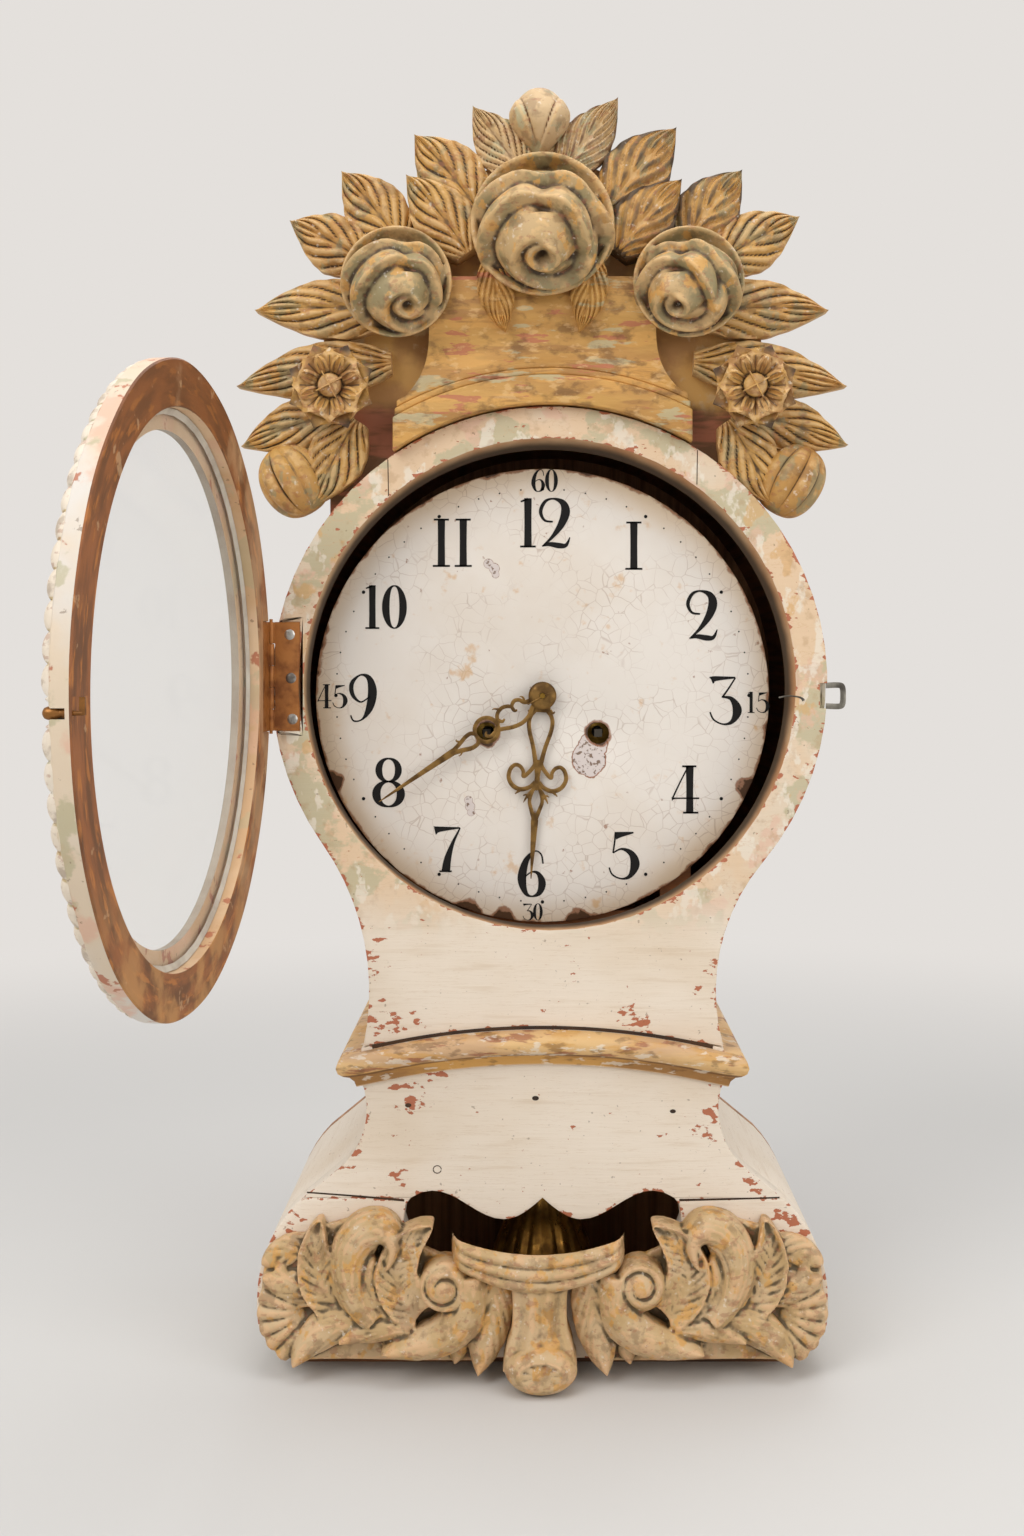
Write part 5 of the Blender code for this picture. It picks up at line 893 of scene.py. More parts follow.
def daisyPetal(turn, share, lift, wide):  # a cupped petal with a point and grooves at its foot
    sheet = gridSheet("petal", 20, 26)

    def place(u, v):
        reach = daisy["radius"] * (0.16 + (share - 0.16) * v)
        half = daisy["radius"] * wide * (0.35 + 0.65 * math.sin(math.pi * min(1, v / 1.24))) * min(1, 2.6 * (1 - v)) ** 0.8
        cup = 0.0062 * u * u * math.sin(math.pi * min(1, v + 0.1))
        groove = 0.0009 * (0.5 - 0.5 * math.cos(4 * math.pi * u)) * max(0, 1 - 1.5 * v)
        height = lift + 0.0075 * v ** 1.4 - 0.0120 * max(0, v - 0.72) + cup - groove
        return u * half, reach, height

    shapeSheet(sheet, place)
    thick = sheet.modifiers.new("thick", "SOLIDIFY")
    thick.thickness = 0.0026
    thick.offset = -1
    pressAll(sheet)
    sheet.data.transform(Matrix.Rotation(turn, 4, "Z"))
    return outward(sheet, 1e-6)


def markTips(flower):  # dark tips, and painted shade in the grooves round the button, in the ring round it, at the foot and under the upper petals
    layer = flower.data.attributes.new("relief", "FLOAT", "POINT")
    for vert in flower.data.vertices:
        out = vert.co.xy.length / daisy["radius"]
        turn = math.atan2(vert.co.y, vert.co.x)
        tip = max(0, out - 0.70) / 0.30 * (0.7 + 0.3 * math.sin(5 * turn + 1))
        value = 0.68 - 0.45 * tip - 0.22 * (vert.co.z < 0.0085)
        # painted shade in the grooves, in the ring round the button and at the foot
        if 0.29 < out < 0.66:
            value -= 0.50 * abs(math.cos(12 * turn)) ** 5
        if 0.26 < out < 0.30 or vert.co.z < 0.004:
            value = 0.1
        layer.data[vert.index].value = min(1, max(0, value))


def carvedDaisy(name, x, z):
    step = 2 * math.pi / daisy["petals"]
    parts = [daisyPetal(step * k, 0.84, 0.0095, 0.27) for k in range(daisy["petals"])]
    parts += [daisyPetal(step * (k + 0.5), 1.0, 0.0030, 0.30) for k in range(daisy["petals"])]
    r = daisy["buttonR"]
    button = [(0, 0.002), (r, 0.002), (r, 0.0130), (0.88 * r, 0.0155), (0.55 * r, 0.0172), (0, 0.0178)]
    parts.append(lathe("button", button, 40))
    stalk = [(0, -0.024), (0.0082, -0.024), (0.0082, 0.003), (0.013, 0.006), (0.013, 0.008), (0, 0.008)]
    parts.append(lathe("stalk", stalk, 32))
    flower = softened(joined(parts, "carved_" + name), 50)
    for turn in (0.5, 0.5 + math.pi / 2):  # the cross cut in the button
        dropAll()
        bpy.ops.mesh.primitive_cube_add(size=1, location=(0, 0, 0.0182))
        blade = named("cross_cut")
        blade.scale = (0.0009, 2.4 * r, 0.0032)
        blade.rotation_euler = (0, 0, turn)
        cutter = flower.modifiers.new("cross", "BOOLEAN")
        cutter.operation = "DIFFERENCE"
        cutter.object = settle(blade)
        pressAll(flower)
        bpy.data.objects.remove(blade, do_unlink=True)
    markTips(flower)
    flower.data.transform(facingOut(x, clock["crestFaceY"] - 0.026, z))
    return given(flower, "case", finish["daisy"], "gilt_brown", name)


carvedDaisy("daisy_left", -0.146, 0.687)
carvedDaisy("daisy_right", 0.146, 0.687)
print("daisies carved")

topBud = {"x": -0.002, "footZ": 0.851, "height": 0.0498, "radius": 0.0222}


def finialBud():  # a round bud of petals, two of them lapped over a middle one
    sheet = gridSheet("top_bud", 110, 64)

    def place(u, v):
        around, down = math.pi * u, math.pi * v
        swell = math.sin(down) ** (0.42 + 0.50 * v) * (1 - 0.40 * max(0, v - 0.36) ** 1.1 / 0.61)
        x, depth = math.sin(around) * swell, math.cos(around) * swell
        up = 1 - 2 * v
        edgeA = x + 0.16 + 0.42 * (up + 0.55)
        edgeB = x - 0.05 - 0.46 * (up + 0.62)
        lap = 0.0
        if depth > 0:
            lap = 0.15 * (1 / (1 + math.exp(38 * edgeA)) + 1 / (1 + math.exp(-38 * edgeB))) - 0.08
            lap -= 0.11 * math.exp(-(edgeA / 0.040) ** 2) + 0.11 * math.exp(-(edgeB / 0.040) ** 2)
        radius = topBud["radius"] * (1 + lap * min(1, depth * 3))
        return (topBud["x"] + radius * x, clock["crestFaceY"] - 0.004 - radius * depth,
                topBud["footZ"] + topBud["height"] * (1 - v))

    return outward(shapeSheet(sheet, place), 1e-6)


finialLeaf = dict(sprayLeaf, width=0.036, veins=6)
finialParts = [finialBud()]
for root, tip in (((-0.012, 0.838), (-0.049, 0.887)), ((0.012, 0.838), (0.053, 0.893))):
    start, end = Vector(root), Vector(tip)
    finialParts.append(carvedLeaf("finial_leaf", [start, start.lerp(end, 0.5), end], finialLeaf, clock["crestFaceY"]))
neck = [(-0.034, 0.8263), (0.034, 0.8263), (0.024, 0.862), (-0.024, 0.862)]
finialParts.append(slab("neck", neck, clock["crestFaceY"] - 0.004, ground["backY"]))
finial = softened(joined(finialParts, "finial"), 50)
markRelief(finial, 0.0016, 6)
given(finial, "case", finish["bud"], "ochre_paint", "crest_finial")
print("finial carved")

# apron: a reeded swag on a stem with a knob, volutes and acanthus to each side

apron = {"wallY": clock["frontY"] - 0.0003, "voxel": 0.0012}

# one row to a leaf of the left side: spine, width, lift, crown, veins, slant
apronLeaves = [
    ([(-0.1511, 0.0610), (-0.1716, 0.0610), (-0.1940, 0.0719)], 0.024, 0.011, 0.005, 4, 0.6),
    ([(-0.1566, 0.0860), (-0.1757, 0.0900), (-0.1952, 0.0790)], 0.026, 0.007, 0.003, 4, 0.6),
    ([(-0.1251, 0.0459), (-0.1539, 0.0541), (-0.1641, 0.0815), (-0.1532, 0.1129)], 0.029, 0.020, -0.005, 11, 0.2),
    ([(-0.1169, 0.0439), (-0.1450, 0.0712), (-0.1430, 0.1220), (-0.0860, 0.1170), (-0.1074, 0.0800)],
     0.029, 0.017, 0.012, 3, 1.2),
    ([(-0.0875, 0.0425), (-0.1169, 0.0487), (-0.1258, 0.0678), (-0.1155, 0.0880)], 0.021, 0.016, 0.008, 3, 1.0),
    ([(-0.0855, 0.0473), (-0.1101, 0.0678), (-0.1022, 0.0962), (-0.0752, 0.1098)], 0.029, 0.027, -0.005, 12, 0.2),
    ([(-0.1033, 0.0405), (-0.1457, 0.0500), (-0.1607, 0.0302), (-0.1723, 0.0118)], 0.027, 0.015, 0.008, 4, 0.9),
    ([(-0.0910, 0.0390), (-0.1183, 0.0418), (-0.1402, 0.0295)], 0.019, 0.020, 0.006, 3, 0.9),
    ([(-0.0500, 0.0760), (-0.0440, 0.0300), (-0.0830, 0.0290), (-0.1107, 0.0241)], 0.027, 0.024, 0.009, 4, 1.1),
    ([(-0.0520, 0.0507), (-0.0554, 0.0302), (-0.0609, 0.0111)], 0.019, 0.009, 0.005, 5, 0.5),
    ([(-0.0335, 0.0780), (-0.0349, 0.0405), (-0.0445, 0.0070)], 0.031, 0.016, 0.008, 6, 0.5),
]
apronGround = [(-0.052, 0.080), (-0.072, 0.086), (-0.094, 0.096), (-0.120, 0.114), (-0.150, 0.106), (-0.178, 0.094),
               (-0.194, 0.076), (-0.1965, 0.046), (-0.189, 0.024), (-0.172, 0.012), (-0.140, 0.013), (-0.100, 0.012),
               (-0.066, 0.012), (-0.046, 0.012), (-0.028, 0.020), (-0.028, 0.074)]


def volute(x, z, radius, hand):  # a coil that rises to a button
    sheet = gridSheet("volute", 96, 48)

    def place(u, v):
        around = math.pi * u
        phase = (2.0 * v - hand * around / (2 * math.pi)) % 1
        coil = math.sin(math.pi * phase) ** 0.6 if v > 0.30 else 1.0
        height = 0.0235 + 0.0050 * (1 - v) + 0.0062 * coil * min(1, (1 - v) * 9)
        return x + radius * v * math.cos(around), apron["wallY"] - height, z + radius * v * math.sin(around)

    return backed(outward(shapeSheet(sheet, place), 1e-6), apron["wallY"])


def shellFan():  # ribs that spread out to the corner
    sheet = gridSheet("shell", 84, 30)

    def place(u, v):
        turn = math.radians(182 + 62 * u)
        rib = abs(math.cos(3.5 * math.pi * u)) ** 0.5
        reach = 0.005 + 0.0325 * v * (1 - 0.05 * (1 - rib))
        height = 0.0075 + 0.0040 * rib * min(1, 3 * v) + 0.0025 * math.sin(math.pi * v)
        return -0.1605 + reach * math.cos(turn), apron["wallY"] - height, 0.0470 + 1.05 * reach * math.sin(turn)

    return backed(shapeSheet(sheet, place), apron["wallY"])


def apronSide(side, sideName):
    parts = []
    for spine, width, lift, crown, veins, slant in apronLeaves:
        leaf = {"width": width, "lift": lift, "crown": crown, "ribDepth": 0.0012 if crown > 0 else 0.0,
                "veinDepth": 0.0017, "veins": veins, "slant": slant, "root": 0.20, "blunt": 0.62, "along": 60}
        parts.append(carvedLeaf("acanthus", [(-side * x, z) for x, z in spine], leaf, apron["wallY"]))
    fan = shellFan()
    if side > 0:
        fan.data.transform(Matrix.Diagonal((-1, 1, 1, 1)))
        outward(fan)
    parts += [fan, volute(side * 0.0675, 0.0692, 0.0172, side)]
    shape = [(-side * x, z) for x, z in apronGround]
    parts.append(slab("apron_ground", shape, apron["wallY"] - 0.0065, apron["wallY"]))
    carving = oneCarving(parts, "apron_" + sideName, apron["voxel"], 2)
    markRelief(carving, 0.0009, 9)
    given(carving, "case", finish["apron"], "sage_paint", "apron_scroll_" + sideName)


def swag():  # a hanging band with three reeds
    sheet = gridSheet("swag", 48, 64)

    def place(u, v):
        along, up = 2 * v - 1, (u + 1) / 2
        low, high = 0.0672 + 0.0175 * along ** 2, 0.0928 + 0.0105 * along ** 2
        reed = abs(math.sin(math.pi * (0.08 + 2.92 * up))) ** 0.55
        height = 0.0240 + 0.0050 * (1 - along ** 2) + 0.0042 * reed + 0.0030 * math.sin(math.pi * up)
        height *= math.sqrt(max(0.04, 1 - (max(0, abs(along) - 0.86) / 0.14) ** 2))
        return -0.0030 + 0.0600 * along, apron["wallY"] - height, low + (high - low) * up

    band = backed(shapeSheet(sheet, place), apron["wallY"])
    for vert in band.data.vertices:  # its top slopes back and down, so that the window shows over it
        if vert.co.y > apron["wallY"] - 0.0005:
            vert.co.z = 0.060 + 0.40 * (vert.co.z - 0.060)
    return band


def stem():  # narrow under the swag, spreading to the knob, with a few long hollows
    sheet = gridSheet("stem", 48, 60)

    def place(u, v):
        half = 0.0205 - 0.0020 * math.sin(math.pi * min(1, 1.3 * v)) + 0.0045 * max(0, v - 0.60) / 0.40
        hollow = 0.0016 * math.cos(3 * math.pi * u) * math.sin(math.pi * v)
        height = 0.0200 + 0.0110 * math.sqrt(max(0, 1 - 0.9 * u * u)) + 0.0130 * v ** 3 - hollow
        return -0.0020 + u * half, apron["wallY"] - height, 0.0780 - 0.0620 * v

    return backed(shapeSheet(sheet, place), apron["wallY"])


def knob():  # a squat foot with a lipped face
    sheet = gridSheet("knob", 120, 50)

    def place(u, v):
        around = math.pi * u
        face = math.sqrt(max(0, 1 - (0.97 * v) ** 4))
        lip = 0.0026 * math.exp(-((v - 0.62) / 0.07) ** 2) * (0.6 + 0.4 * math.sin(around))
        vein = 0.0014 * abs(math.cos(4.5 * around)) ** 4 * min(1, 3 * v) * (1 - v)
        height = 0.0300 + 0.0185 * face + lip - vein
        across = 0.0246 * v * math.cos(around)
        up = (0.0152 if around > 0 else 0.0165) * v * math.sin(around)
        return -0.0010 + across, apron["wallY"] - height, 0.0168 + up

    return backed(outward(shapeSheet(sheet, place), 1e-6), apron["wallY"])


for side, sideName in ((-1, "left"), (1, "right")):
    apronSide(side, sideName)
middle = oneCarving([swag(), stem(), knob()], "apron_middle", 0.0010, 2)
markRelief(middle, 0.0010, 8)
given(middle, "case", finish["apron"], "sage_paint", "apron_centre")
print("apron carved")

# door: made shut about the ring's middle, then swung open as the frame has it

door = {"beads": 75, "beadIn": 0.0170, "beadFoot": 0.0111, "beadUp": 0.0064, "ringR": 0.194, "open": 96,
        "hinge": Vector((-0.1895, -0.11025, 0)), "knobX": 0.1905, "knobZ": -0.0081, "knobFoot": 0.0035,
        "leafX": -0.1945, "leafZ": 0.0054, "leafW": 0.0206, "leafH": 0.0766, "leafT": 0.0017}
swung = (Matrix.Translation(door["hinge"]) @ Matrix.Rotation(math.radians(-door["open"]), 4, "Z")
         @ Matrix.Translation(-door["hinge"]))
onDoor = swung @ Matrix.Translation((clock["headX"], clock["frontY"] - 0.0005, clock["headZ"]))
facingDoor = onDoor @ Matrix.Rotation(math.radians(90), 4, "X")
doorMiddle = onDoor @ Vector((0, 0, 0))


def doorWoodFinish():  # bare brown wood with streaks round the ring, paler by the hinge
    coat, tree, shader, where = newFinish("door_wood", 0.55)
    apart = put(tree, "VectorMath", {0: where, 1: doorMiddle}, operation="SUBTRACT").outputs[0]
    split = put(tree, "SeparateXYZ", {0: apart}).outputs
    turn = reckon(tree, "ARCTAN2", split["Z"], split["Y"])
    radius = put(tree, "VectorMath", {0: apart}, operation="LENGTH").outputs["Value"]
    rings = put(tree, "CombineXYZ", {0: times(tree, radius, 9.0), 1: times(tree, turn, 0.35)}).outputs[0]
    grain = fuzz(tree, rings, 11, 7)
    colour = over(tree, ease(tree, grain, 0.38, 0.62), linear("#96592C"), linear("#6A3F1E"))
    colour = over(tree, ease(tree, fuzz(tree, rings, 19, 6), 0.54, 0.64, 0, 0.8), colour, linear("#B87232"))
    high = ease(tree, split["Z"], 0.10, 0.19, 0, 0.55)
    colour = over(tree, high, colour, linear("#744420"))
    low = times(tree, ease(tree, split["Z"], -0.08, -0.17), ease(tree, fuzz(tree, where, 30, 6), 0.40, 0.58))
    colour = over(tree, reckon(tree, "MULTIPLY", low, 0.8), colour, linear("#BC8850"))
    near = reckon(tree, "ADD", ease(tree, split["Y"], 0.02, 0.17, 0, 0.30), fuzz(tree, where, 26, 6))
    colour = over(tree, ease(tree, near, 0.66, 0.86, 0, 0.50), colour, tint["beige"])
    colour = over(tree, ease(tree, fuzz(tree, where, 55, 7), 0.64, 0.68, 0, 0.5), colour, tint["beige"])
    coloured(tree, shader, colour)
    roughened(tree, shader, grain, 0.0008, 0.5)
    return coat


def ringBody():
    profile = [(0.1660, 0.0006), (0.1666, 0.0), (0.1930, 0.0), (0.1940, 0.0010), (0.1940, 0.0106), (0.1932, 0.0115),
               (0.1765, 0.0115), (0.1750, 0.0122), (0.1720, 0.0126), (0.1640, 0.0142), (0.1560, 0.0164),
               (0.1536, 0.0166), (0.1530, 0.0160), (0.1530, 0.0112), (0.1660, 0.0112)]
    ring = lathe("painted_door_ring", profile, 180)
    for vert in ring.data.vertices:  # a little out of true, as turned by hand
        turn = math.atan2(vert.co.y, vert.co.x)
        swell = 0.0003 * math.sin(5 * turn + 0.6) + 0.0002 * math.sin(13 * turn)
        if vert.co.xy.length > 0.19:
            vert.co *= 1 + swell / 0.194
    dropAll()
    bpy.ops.mesh.primitive_cube_add(size=1, location=(door["leafX"] + door["leafW"] / 2 - 0.002, door["leafZ"], 0))
    cutters = [named("leaf_recess")]
    cutters[0].scale = (door["leafW"] + 0.004, door["leafH"], 2 * door["leafT"])
    bpy.ops.mesh.primitive_cylinder_add(vertices=24, radius=0.0028, depth=door["leafH"], rotation=(math.pi / 2, 0, 0),
                                        location=(door["leafX"], door["leafZ"], -0.0002))
    cutters.append(named("knuckle_room"))
    bpy.ops.mesh.primitive_cylinder_add(vertices=24, radius=0.0015, depth=0.06,
                                        location=(door["knobX"], door["knobZ"], 0))
    cutters.append(named("spindle_way"))
    bpy.ops.mesh.primitive_cylinder_add(vertices=24, radius=0.0043, depth=0.02,
                                        location=(door["knobX"], door["knobZ"], 0.0132))
    cutters.append(named("knob_notch"))
    for tool in cutters:
        way = ring.modifiers.new(tool.name, "BOOLEAN")
        way.operation = "DIFFERENCE"
        way.object = settle(tool)
    pressAll(ring)
    for tool in cutters:
        bpy.data.objects.remove(tool, do_unlink=True)
    softened(ring, 35)
    coats = [finish["rim"], doorWoodFinish(), finish["rabbet"], finish["lip"]]
    given(ring, "door", coats[0], "cream_paint", "door_ring")
    for coat in coats[1:]:
        ring.data.materials.append(coat)
    for face in ring.data.polygons:
        if face.center.z < 0.0025 and face.normal.z < -0.5:
            face.material_index = 1
        elif face.center.xy.length < 0.1545 and face.center.z < 0.0164:
            face.material_index = 3
        elif face.center.xy.length < 0.1665 and face.center.z < 0.0116:
            face.material_index = 2
    ring.data.transform(facingDoor)


def beadBand():  # a row of beads along the ring's front edge, cut away for the knob
    spare = math.atan2(door["knobZ"], door["knobX"])

    def place(u, v):
        turn = 2 * math.pi * v
        part = (v * door["beads"]) % 1
        swell = math.sqrt(max(0, 1 - 0.90 * (2 * part - 1) ** 2))
        away = abs((turn - spare + math.pi) % (2 * math.pi) - math.pi) * door["ringR"]
        swell *= min(1, max(0, (away - 0.0052) / 0.0015))
        keep = 1 if away > 0.0048 else 0
        across = 0.5 - 0.5 * (0.80 + 0.20 * swell) * math.sin(u * math.pi / 2)
        radius = door["ringR"] - 0.0002 - door["beadIn"] * across
        lift = door["beadFoot"] + keep * door["beadUp"] * math.cos(u * math.pi / 2) ** 0.8 * (0.16 + 0.84 * swell)
        return radius * math.cos(turn), -lift, radius * math.sin(turn)

    band = shapeSheet(gridSheet("bead_band", 12, 14 * door["beads"]), place)
    outward(band, 1e-6)
    backed(band, -door["beadFoot"] + 0.0004)
    markRelief(softened(band, 60), 0.0009, 6)
    band.data.transform(onDoor)
    given(band, "door", finish["beads"], "cream_paint")


def turnedKnob():
    profile = [(0, 0), (0.0026, 0), (0.0028, 0.0008), (0.0022, 0.0020), (0.0022, 0.0034), (0.0031, 0.0052),
               (0.0034, 0.0074), (0.0033, 0.0094), (0.0027, 0.0109), (0.0014, 0.0118), (0, 0.0120)]
    knob = lathe("knob", profile, 28, Matrix.Translation((door["knobX"], door["knobZ"], door["knobFoot"])))
    dropAll()
    bpy.ops.mesh.primitive_cylinder_add(vertices=16, radius=0.0012, depth=0.0130,
                                        location=(door["knobX"], door["knobZ"], 0.0018))
    spindle = settle(named("spindle"))
    bpy.ops.mesh.primitive_cube_add(size=1, location=(door["knobX"], door["knobZ"] + 0.0035, -0.0047))
    blade = named("blade")
    blade.scale = (0.0020, 0.0090, 0.0030)
    whole = softened(joined([knob, spindle, settle(blade)], "turned_knob"), 40)
    whole.data.transform(facingDoor)
    given(whole, "catch", finish["knob"], "dark_brass", "door_catch")


def slottedScrew(name, x, z, frontY, turn):
    profile = [(0, 0.0007), (0.0016, 0.00066), (0.0030, 0.0004), (0.0037, 0.0), (0.0034, -0.0010), (0, -0.0010)]
    head = lathe(name, profile, 28)
    dropAll()
    bpy.ops.mesh.primitive_cube_add(size=1, location=(0, 0, 0.0006), rotation=(0, 0, turn))
    slit = named("slit")
    slit.scale = (0.0008, 0.0090, 0.0010)
    cutter = head.modifiers.new("slit", "BOOLEAN")
    cutter.operation = "DIFFERENCE"
    cutter.object = settle(slit)
    pressAll(head)
    bpy.data.objects.remove(slit, do_unlink=True)
    head.data.transform(facingOut(x, frontY, z))
    return softened(head, 35)


ringBody()
beadBand()
turnedKnob()
print("door painted")

leafY = clock["frontY"] + 0.0003
screws = [slottedScrew("screw", x, z, leafY, turn)
          for x, z, turn in ((-0.1767, 0.5162, 0.5), (-0.1757, 0.4858, 1.9), (-0.1747, 0.4572, 2.5))]
given(joined(screws, "hinge_screws"), "case", finish["steel"], "steel")
given(eased("hinge_leaf_case", "case_hinge_leaf", 0.0003), "case", finish["copper"], "copper_brown", "hinge_leaf_case")
given(eased("hinge_leaf_door", "door_hinge_leaf", 0.0003), "door", finish["copper"], "copper_brown", "hinge_leaf_door")

# the keeper is a bent steel loop in the head's edge, with a bent nail beside the dial
keeper = [(0.1980, 0.4663, 0.0020), (0.2072, 0.4661, 0.0020), (0.2096, 0.4678, 0.0020), (0.2101, 0.4735, 0.0019),
          (0.2096, 0.4792, 0.0020), (0.2072, 0.4809, 0.0020), (0.1980, 0.4807, 0.0020)]
low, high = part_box("latch_keeper")
loopBar = softened(stroke(keeper, low.y + 0.0004, high.y, 0.0004, 4, 48), 40)
loopBar.name = "keeper_loop"
given(loopBar, "case", finish["oldSteel"], "steel", "latch_keeper")
nail = [(0.1650, 0.4722, 0.0005), (0.1720, 0.4734, 0.0005), (0.1790, 0.4726, 0.0006), (0.1816, 0.4712, 0.0009),
        (0.1822, 0.4700, 0.0011)]
bentNail = softened(stroke(nail, clock["frontY"] - 0.0001, clock["frontY"] + 0.0006, 0.0003, 4, 30), 40)
bentNail.name = "bent_nail"
given(bentNail, "case", finish["oldSteel"], "steel")
print("hinge, keeper and nail fitted")

# dial, figures and hands

def loop(x, z, wide, tall, thin, thick):  # a ring that is thick at its sides
    turns = [math.radians(15 * step) for step in range(25)]
    return [(x + wide * math.sin(a), z + tall * math.cos(a), thin + (thick - thin) * abs(math.sin(a)) ** 1.6)
            for a in turns]


# each figure one high: its width, then its strokes as (across, up, half width)
upright = [(0.20, 0.0, 0.062), (0.20, 0.5, 0.058), (0.20, 1.0, 0.062)]
figures = {
    "0": (0.50, [loop(0.25, 0.5, 0.20, 0.49, 0.012, 0.070)]),
    "1": (0.40, [upright, [(0.04, 0.012, 0.016), (0.36, 0.012, 0.016)], [(0.05, 0.93, 0.012), (0.20, 0.985, 0.022)]]),
    "I": (0.40, [upright, [(0.02, 0.012, 0.016), (0.38, 0.012, 0.016)], [(0.04, 0.988, 0.016), (0.36, 0.988, 0.016)]]),
    "2": (0.58, [[(0.25, 0.52, 0.014), (0.08, 0.55, 0.020), (0.00, 0.73, 0.030), (0.09, 0.93, 0.026),
                  (0.26, 0.99, 0.016), (0.45, 0.91, 0.050), (0.51, 0.73, 0.074), (0.43, 0.48, 0.060),
                  (0.25, 0.22, 0.030), (0.05, 0.03, 0.010)],
                 [(0.03, 0.02, 0.010), (0.18, 0.06, 0.034), (0.38, 0.03, 0.046), (0.52, 0.04, 0.030),
                  (0.60, 0.20, 0.008)]]),
    "3": (0.58, [[(0.03, 0.91, 0.066), (0.12, 0.945, 0.040), (0.52, 0.965, 0.014)],
                 [(0.52, 0.96, 0.012), (0.38, 0.74, 0.014), (0.26, 0.57, 0.016)],
                 [(0.24, 0.57, 0.012), (0.44, 0.53, 0.036), (0.56, 0.30, 0.076), (0.46, 0.07, 0.036),
                  (0.28, 0.01, 0.014), (0.08, 0.10, 0.014), (0.00, 0.26, 0.012)]]),
    "4": (0.58, [[(0.38, 0.0, 0.062), (0.38, 0.5, 0.058), (0.38, 1.0, 0.066)],
                 [(0.34, 0.97, 0.012), (0.18, 0.66, 0.012), (0.02, 0.32, 0.014)],
                 [(0.00, 0.30, 0.030), (0.10, 0.315, 0.012), (0.58, 0.315, 0.014)],
                 [(0.24, 0.012, 0.016), (0.56, 0.012, 0.016)], [(0.22, 0.988, 0.016), (0.52, 0.988, 0.016)]]),
    "5": (0.56, [[(0.13, 0.89, 0.062), (0.24, 0.915, 0.044), (0.50, 0.955, 0.012)],
                 [(0.13, 0.95, 0.014), (0.11, 0.74, 0.014), (0.08, 0.54, 0.012)],
                 [(0.08, 0.54, 0.012), (0.26, 0.62, 0.018), (0.46, 0.52, 0.050), (0.53, 0.30, 0.076),
                  (0.43, 0.07, 0.036), (0.26, 0.01, 0.014), (0.07, 0.09, 0.014), (0.00, 0.24, 0.012)]]),
    "6": (0.56, [[(0.52, 0.72, 0.014), (0.48, 0.92, 0.014), (0.34, 0.99, 0.014), (0.15, 0.78, 0.052),
                  (0.06, 0.40, 0.076), (0.14, 0.09, 0.040), (0.28, 0.01, 0.014), (0.44, 0.09, 0.046),
                  (0.50, 0.30, 0.066), (0.42, 0.50, 0.034), (0.28, 0.54, 0.014), (0.13, 0.44, 0.012)]]),
    "7": (0.58, [[(0.03, 0.90, 0.078), (0.14, 0.925, 0.046), (0.58, 0.955, 0.012)],
                 [(0.58, 0.95, 0.012), (0.42, 0.62, 0.030), (0.31, 0.28, 0.062), (0.27, 0.0, 0.076)],
                 [(0.13, 0.012, 0.014), (0.40, 0.012, 0.014)]]),
    "8": (0.56, [loop(0.27, 0.755, 0.20, 0.235, 0.014, 0.056), loop(0.27, 0.265, 0.25, 0.255, 0.014, 0.068)]),
    "9": (0.54, [[(0.44, 0.54, 0.012), (0.24, 0.42, 0.014), (0.07, 0.58, 0.034), (0.06, 0.82, 0.036),
                  (0.24, 0.99, 0.014), (0.42, 0.92, 0.046), (0.49, 0.64, 0.076), (0.43, 0.30, 0.062),
                  (0.28, 0.06, 0.016), (0.10, 0.02, 0.014), (0.03, 0.14, 0.012)]]),
}
# what stands where on the dial: figures, middle and height
dialText = [
    ("12", 0.0008, 0.5968, 0.035), ("I", 0.0655, 0.5803, 0.034), ("2", 0.1144, 0.5307, 0.035),
    ("3", 0.1302, 0.4695, 0.035), ("4", 0.1025, 0.4056, 0.034), ("5", 0.0576, 0.3588, 0.035),
    ("6", -0.0075, 0.3452, 0.033), ("7", -0.0686, 0.3631, 0.033), ("8", -0.1099, 0.4106, 0.035),
    ("9", -0.1293, 0.4710, 0.034), ("10", -0.1132, 0.5364, 0.031), ("II", -0.0646, 0.5824, 0.034),
    ("60", 0.0015, 0.6270, 0.016), ("15", 0.1542, 0.4681, 0.015), ("30", -0.0071, 0.3179, 0.012),
    ("45", -0.1509, 0.4724, 0.017),
]
dial = {"inkUp": 0.00022, "inkIn": 0.0001, "dotR": 0.148, "windX": 0.040, "windZ": 0.446, "bold": 1.24}


def written(text, x, z, height):
    frontY, backY = clock["dialY"] - dial["inkUp"], clock["dialY"] + dial["inkIn"]
    total = sum(figures[sign][0] for sign in text) + 0.06 * (len(text) - 1)
    start = x / height - total / 2
    foot = z / height - 0.5
    parts = []
    for sign in text:
        wide, lines = figures[sign]
        for line in lines:
            moved = [((start + a) * height, (foot + b) * height, half * height * dial["bold"]) for a, b, half in line]
            parts.append(stroke(moved, frontY, backY, along=8 if len(line) < 4 else 5 * len(line)))
        start += wide + 0.06
    return parts


def minuteDot(minute):
    turn = math.radians(6 * minute)
    size = 0.0013 if minute % 5 == 0 else 0.0006
    x, z = dial["dotR"] * math.sin(turn), clock["arborZ"] + dial["dotR"] * math.cos(turn)
    return slab("dot", [(x + size * math.cos(a), z + size * math.sin(a)) for a in np.linspace(0, 2 * math.pi, 9)[:-1]],
                clock["dialY"] - dial["inkUp"], clock["dialY"] + dial["inkIn"])


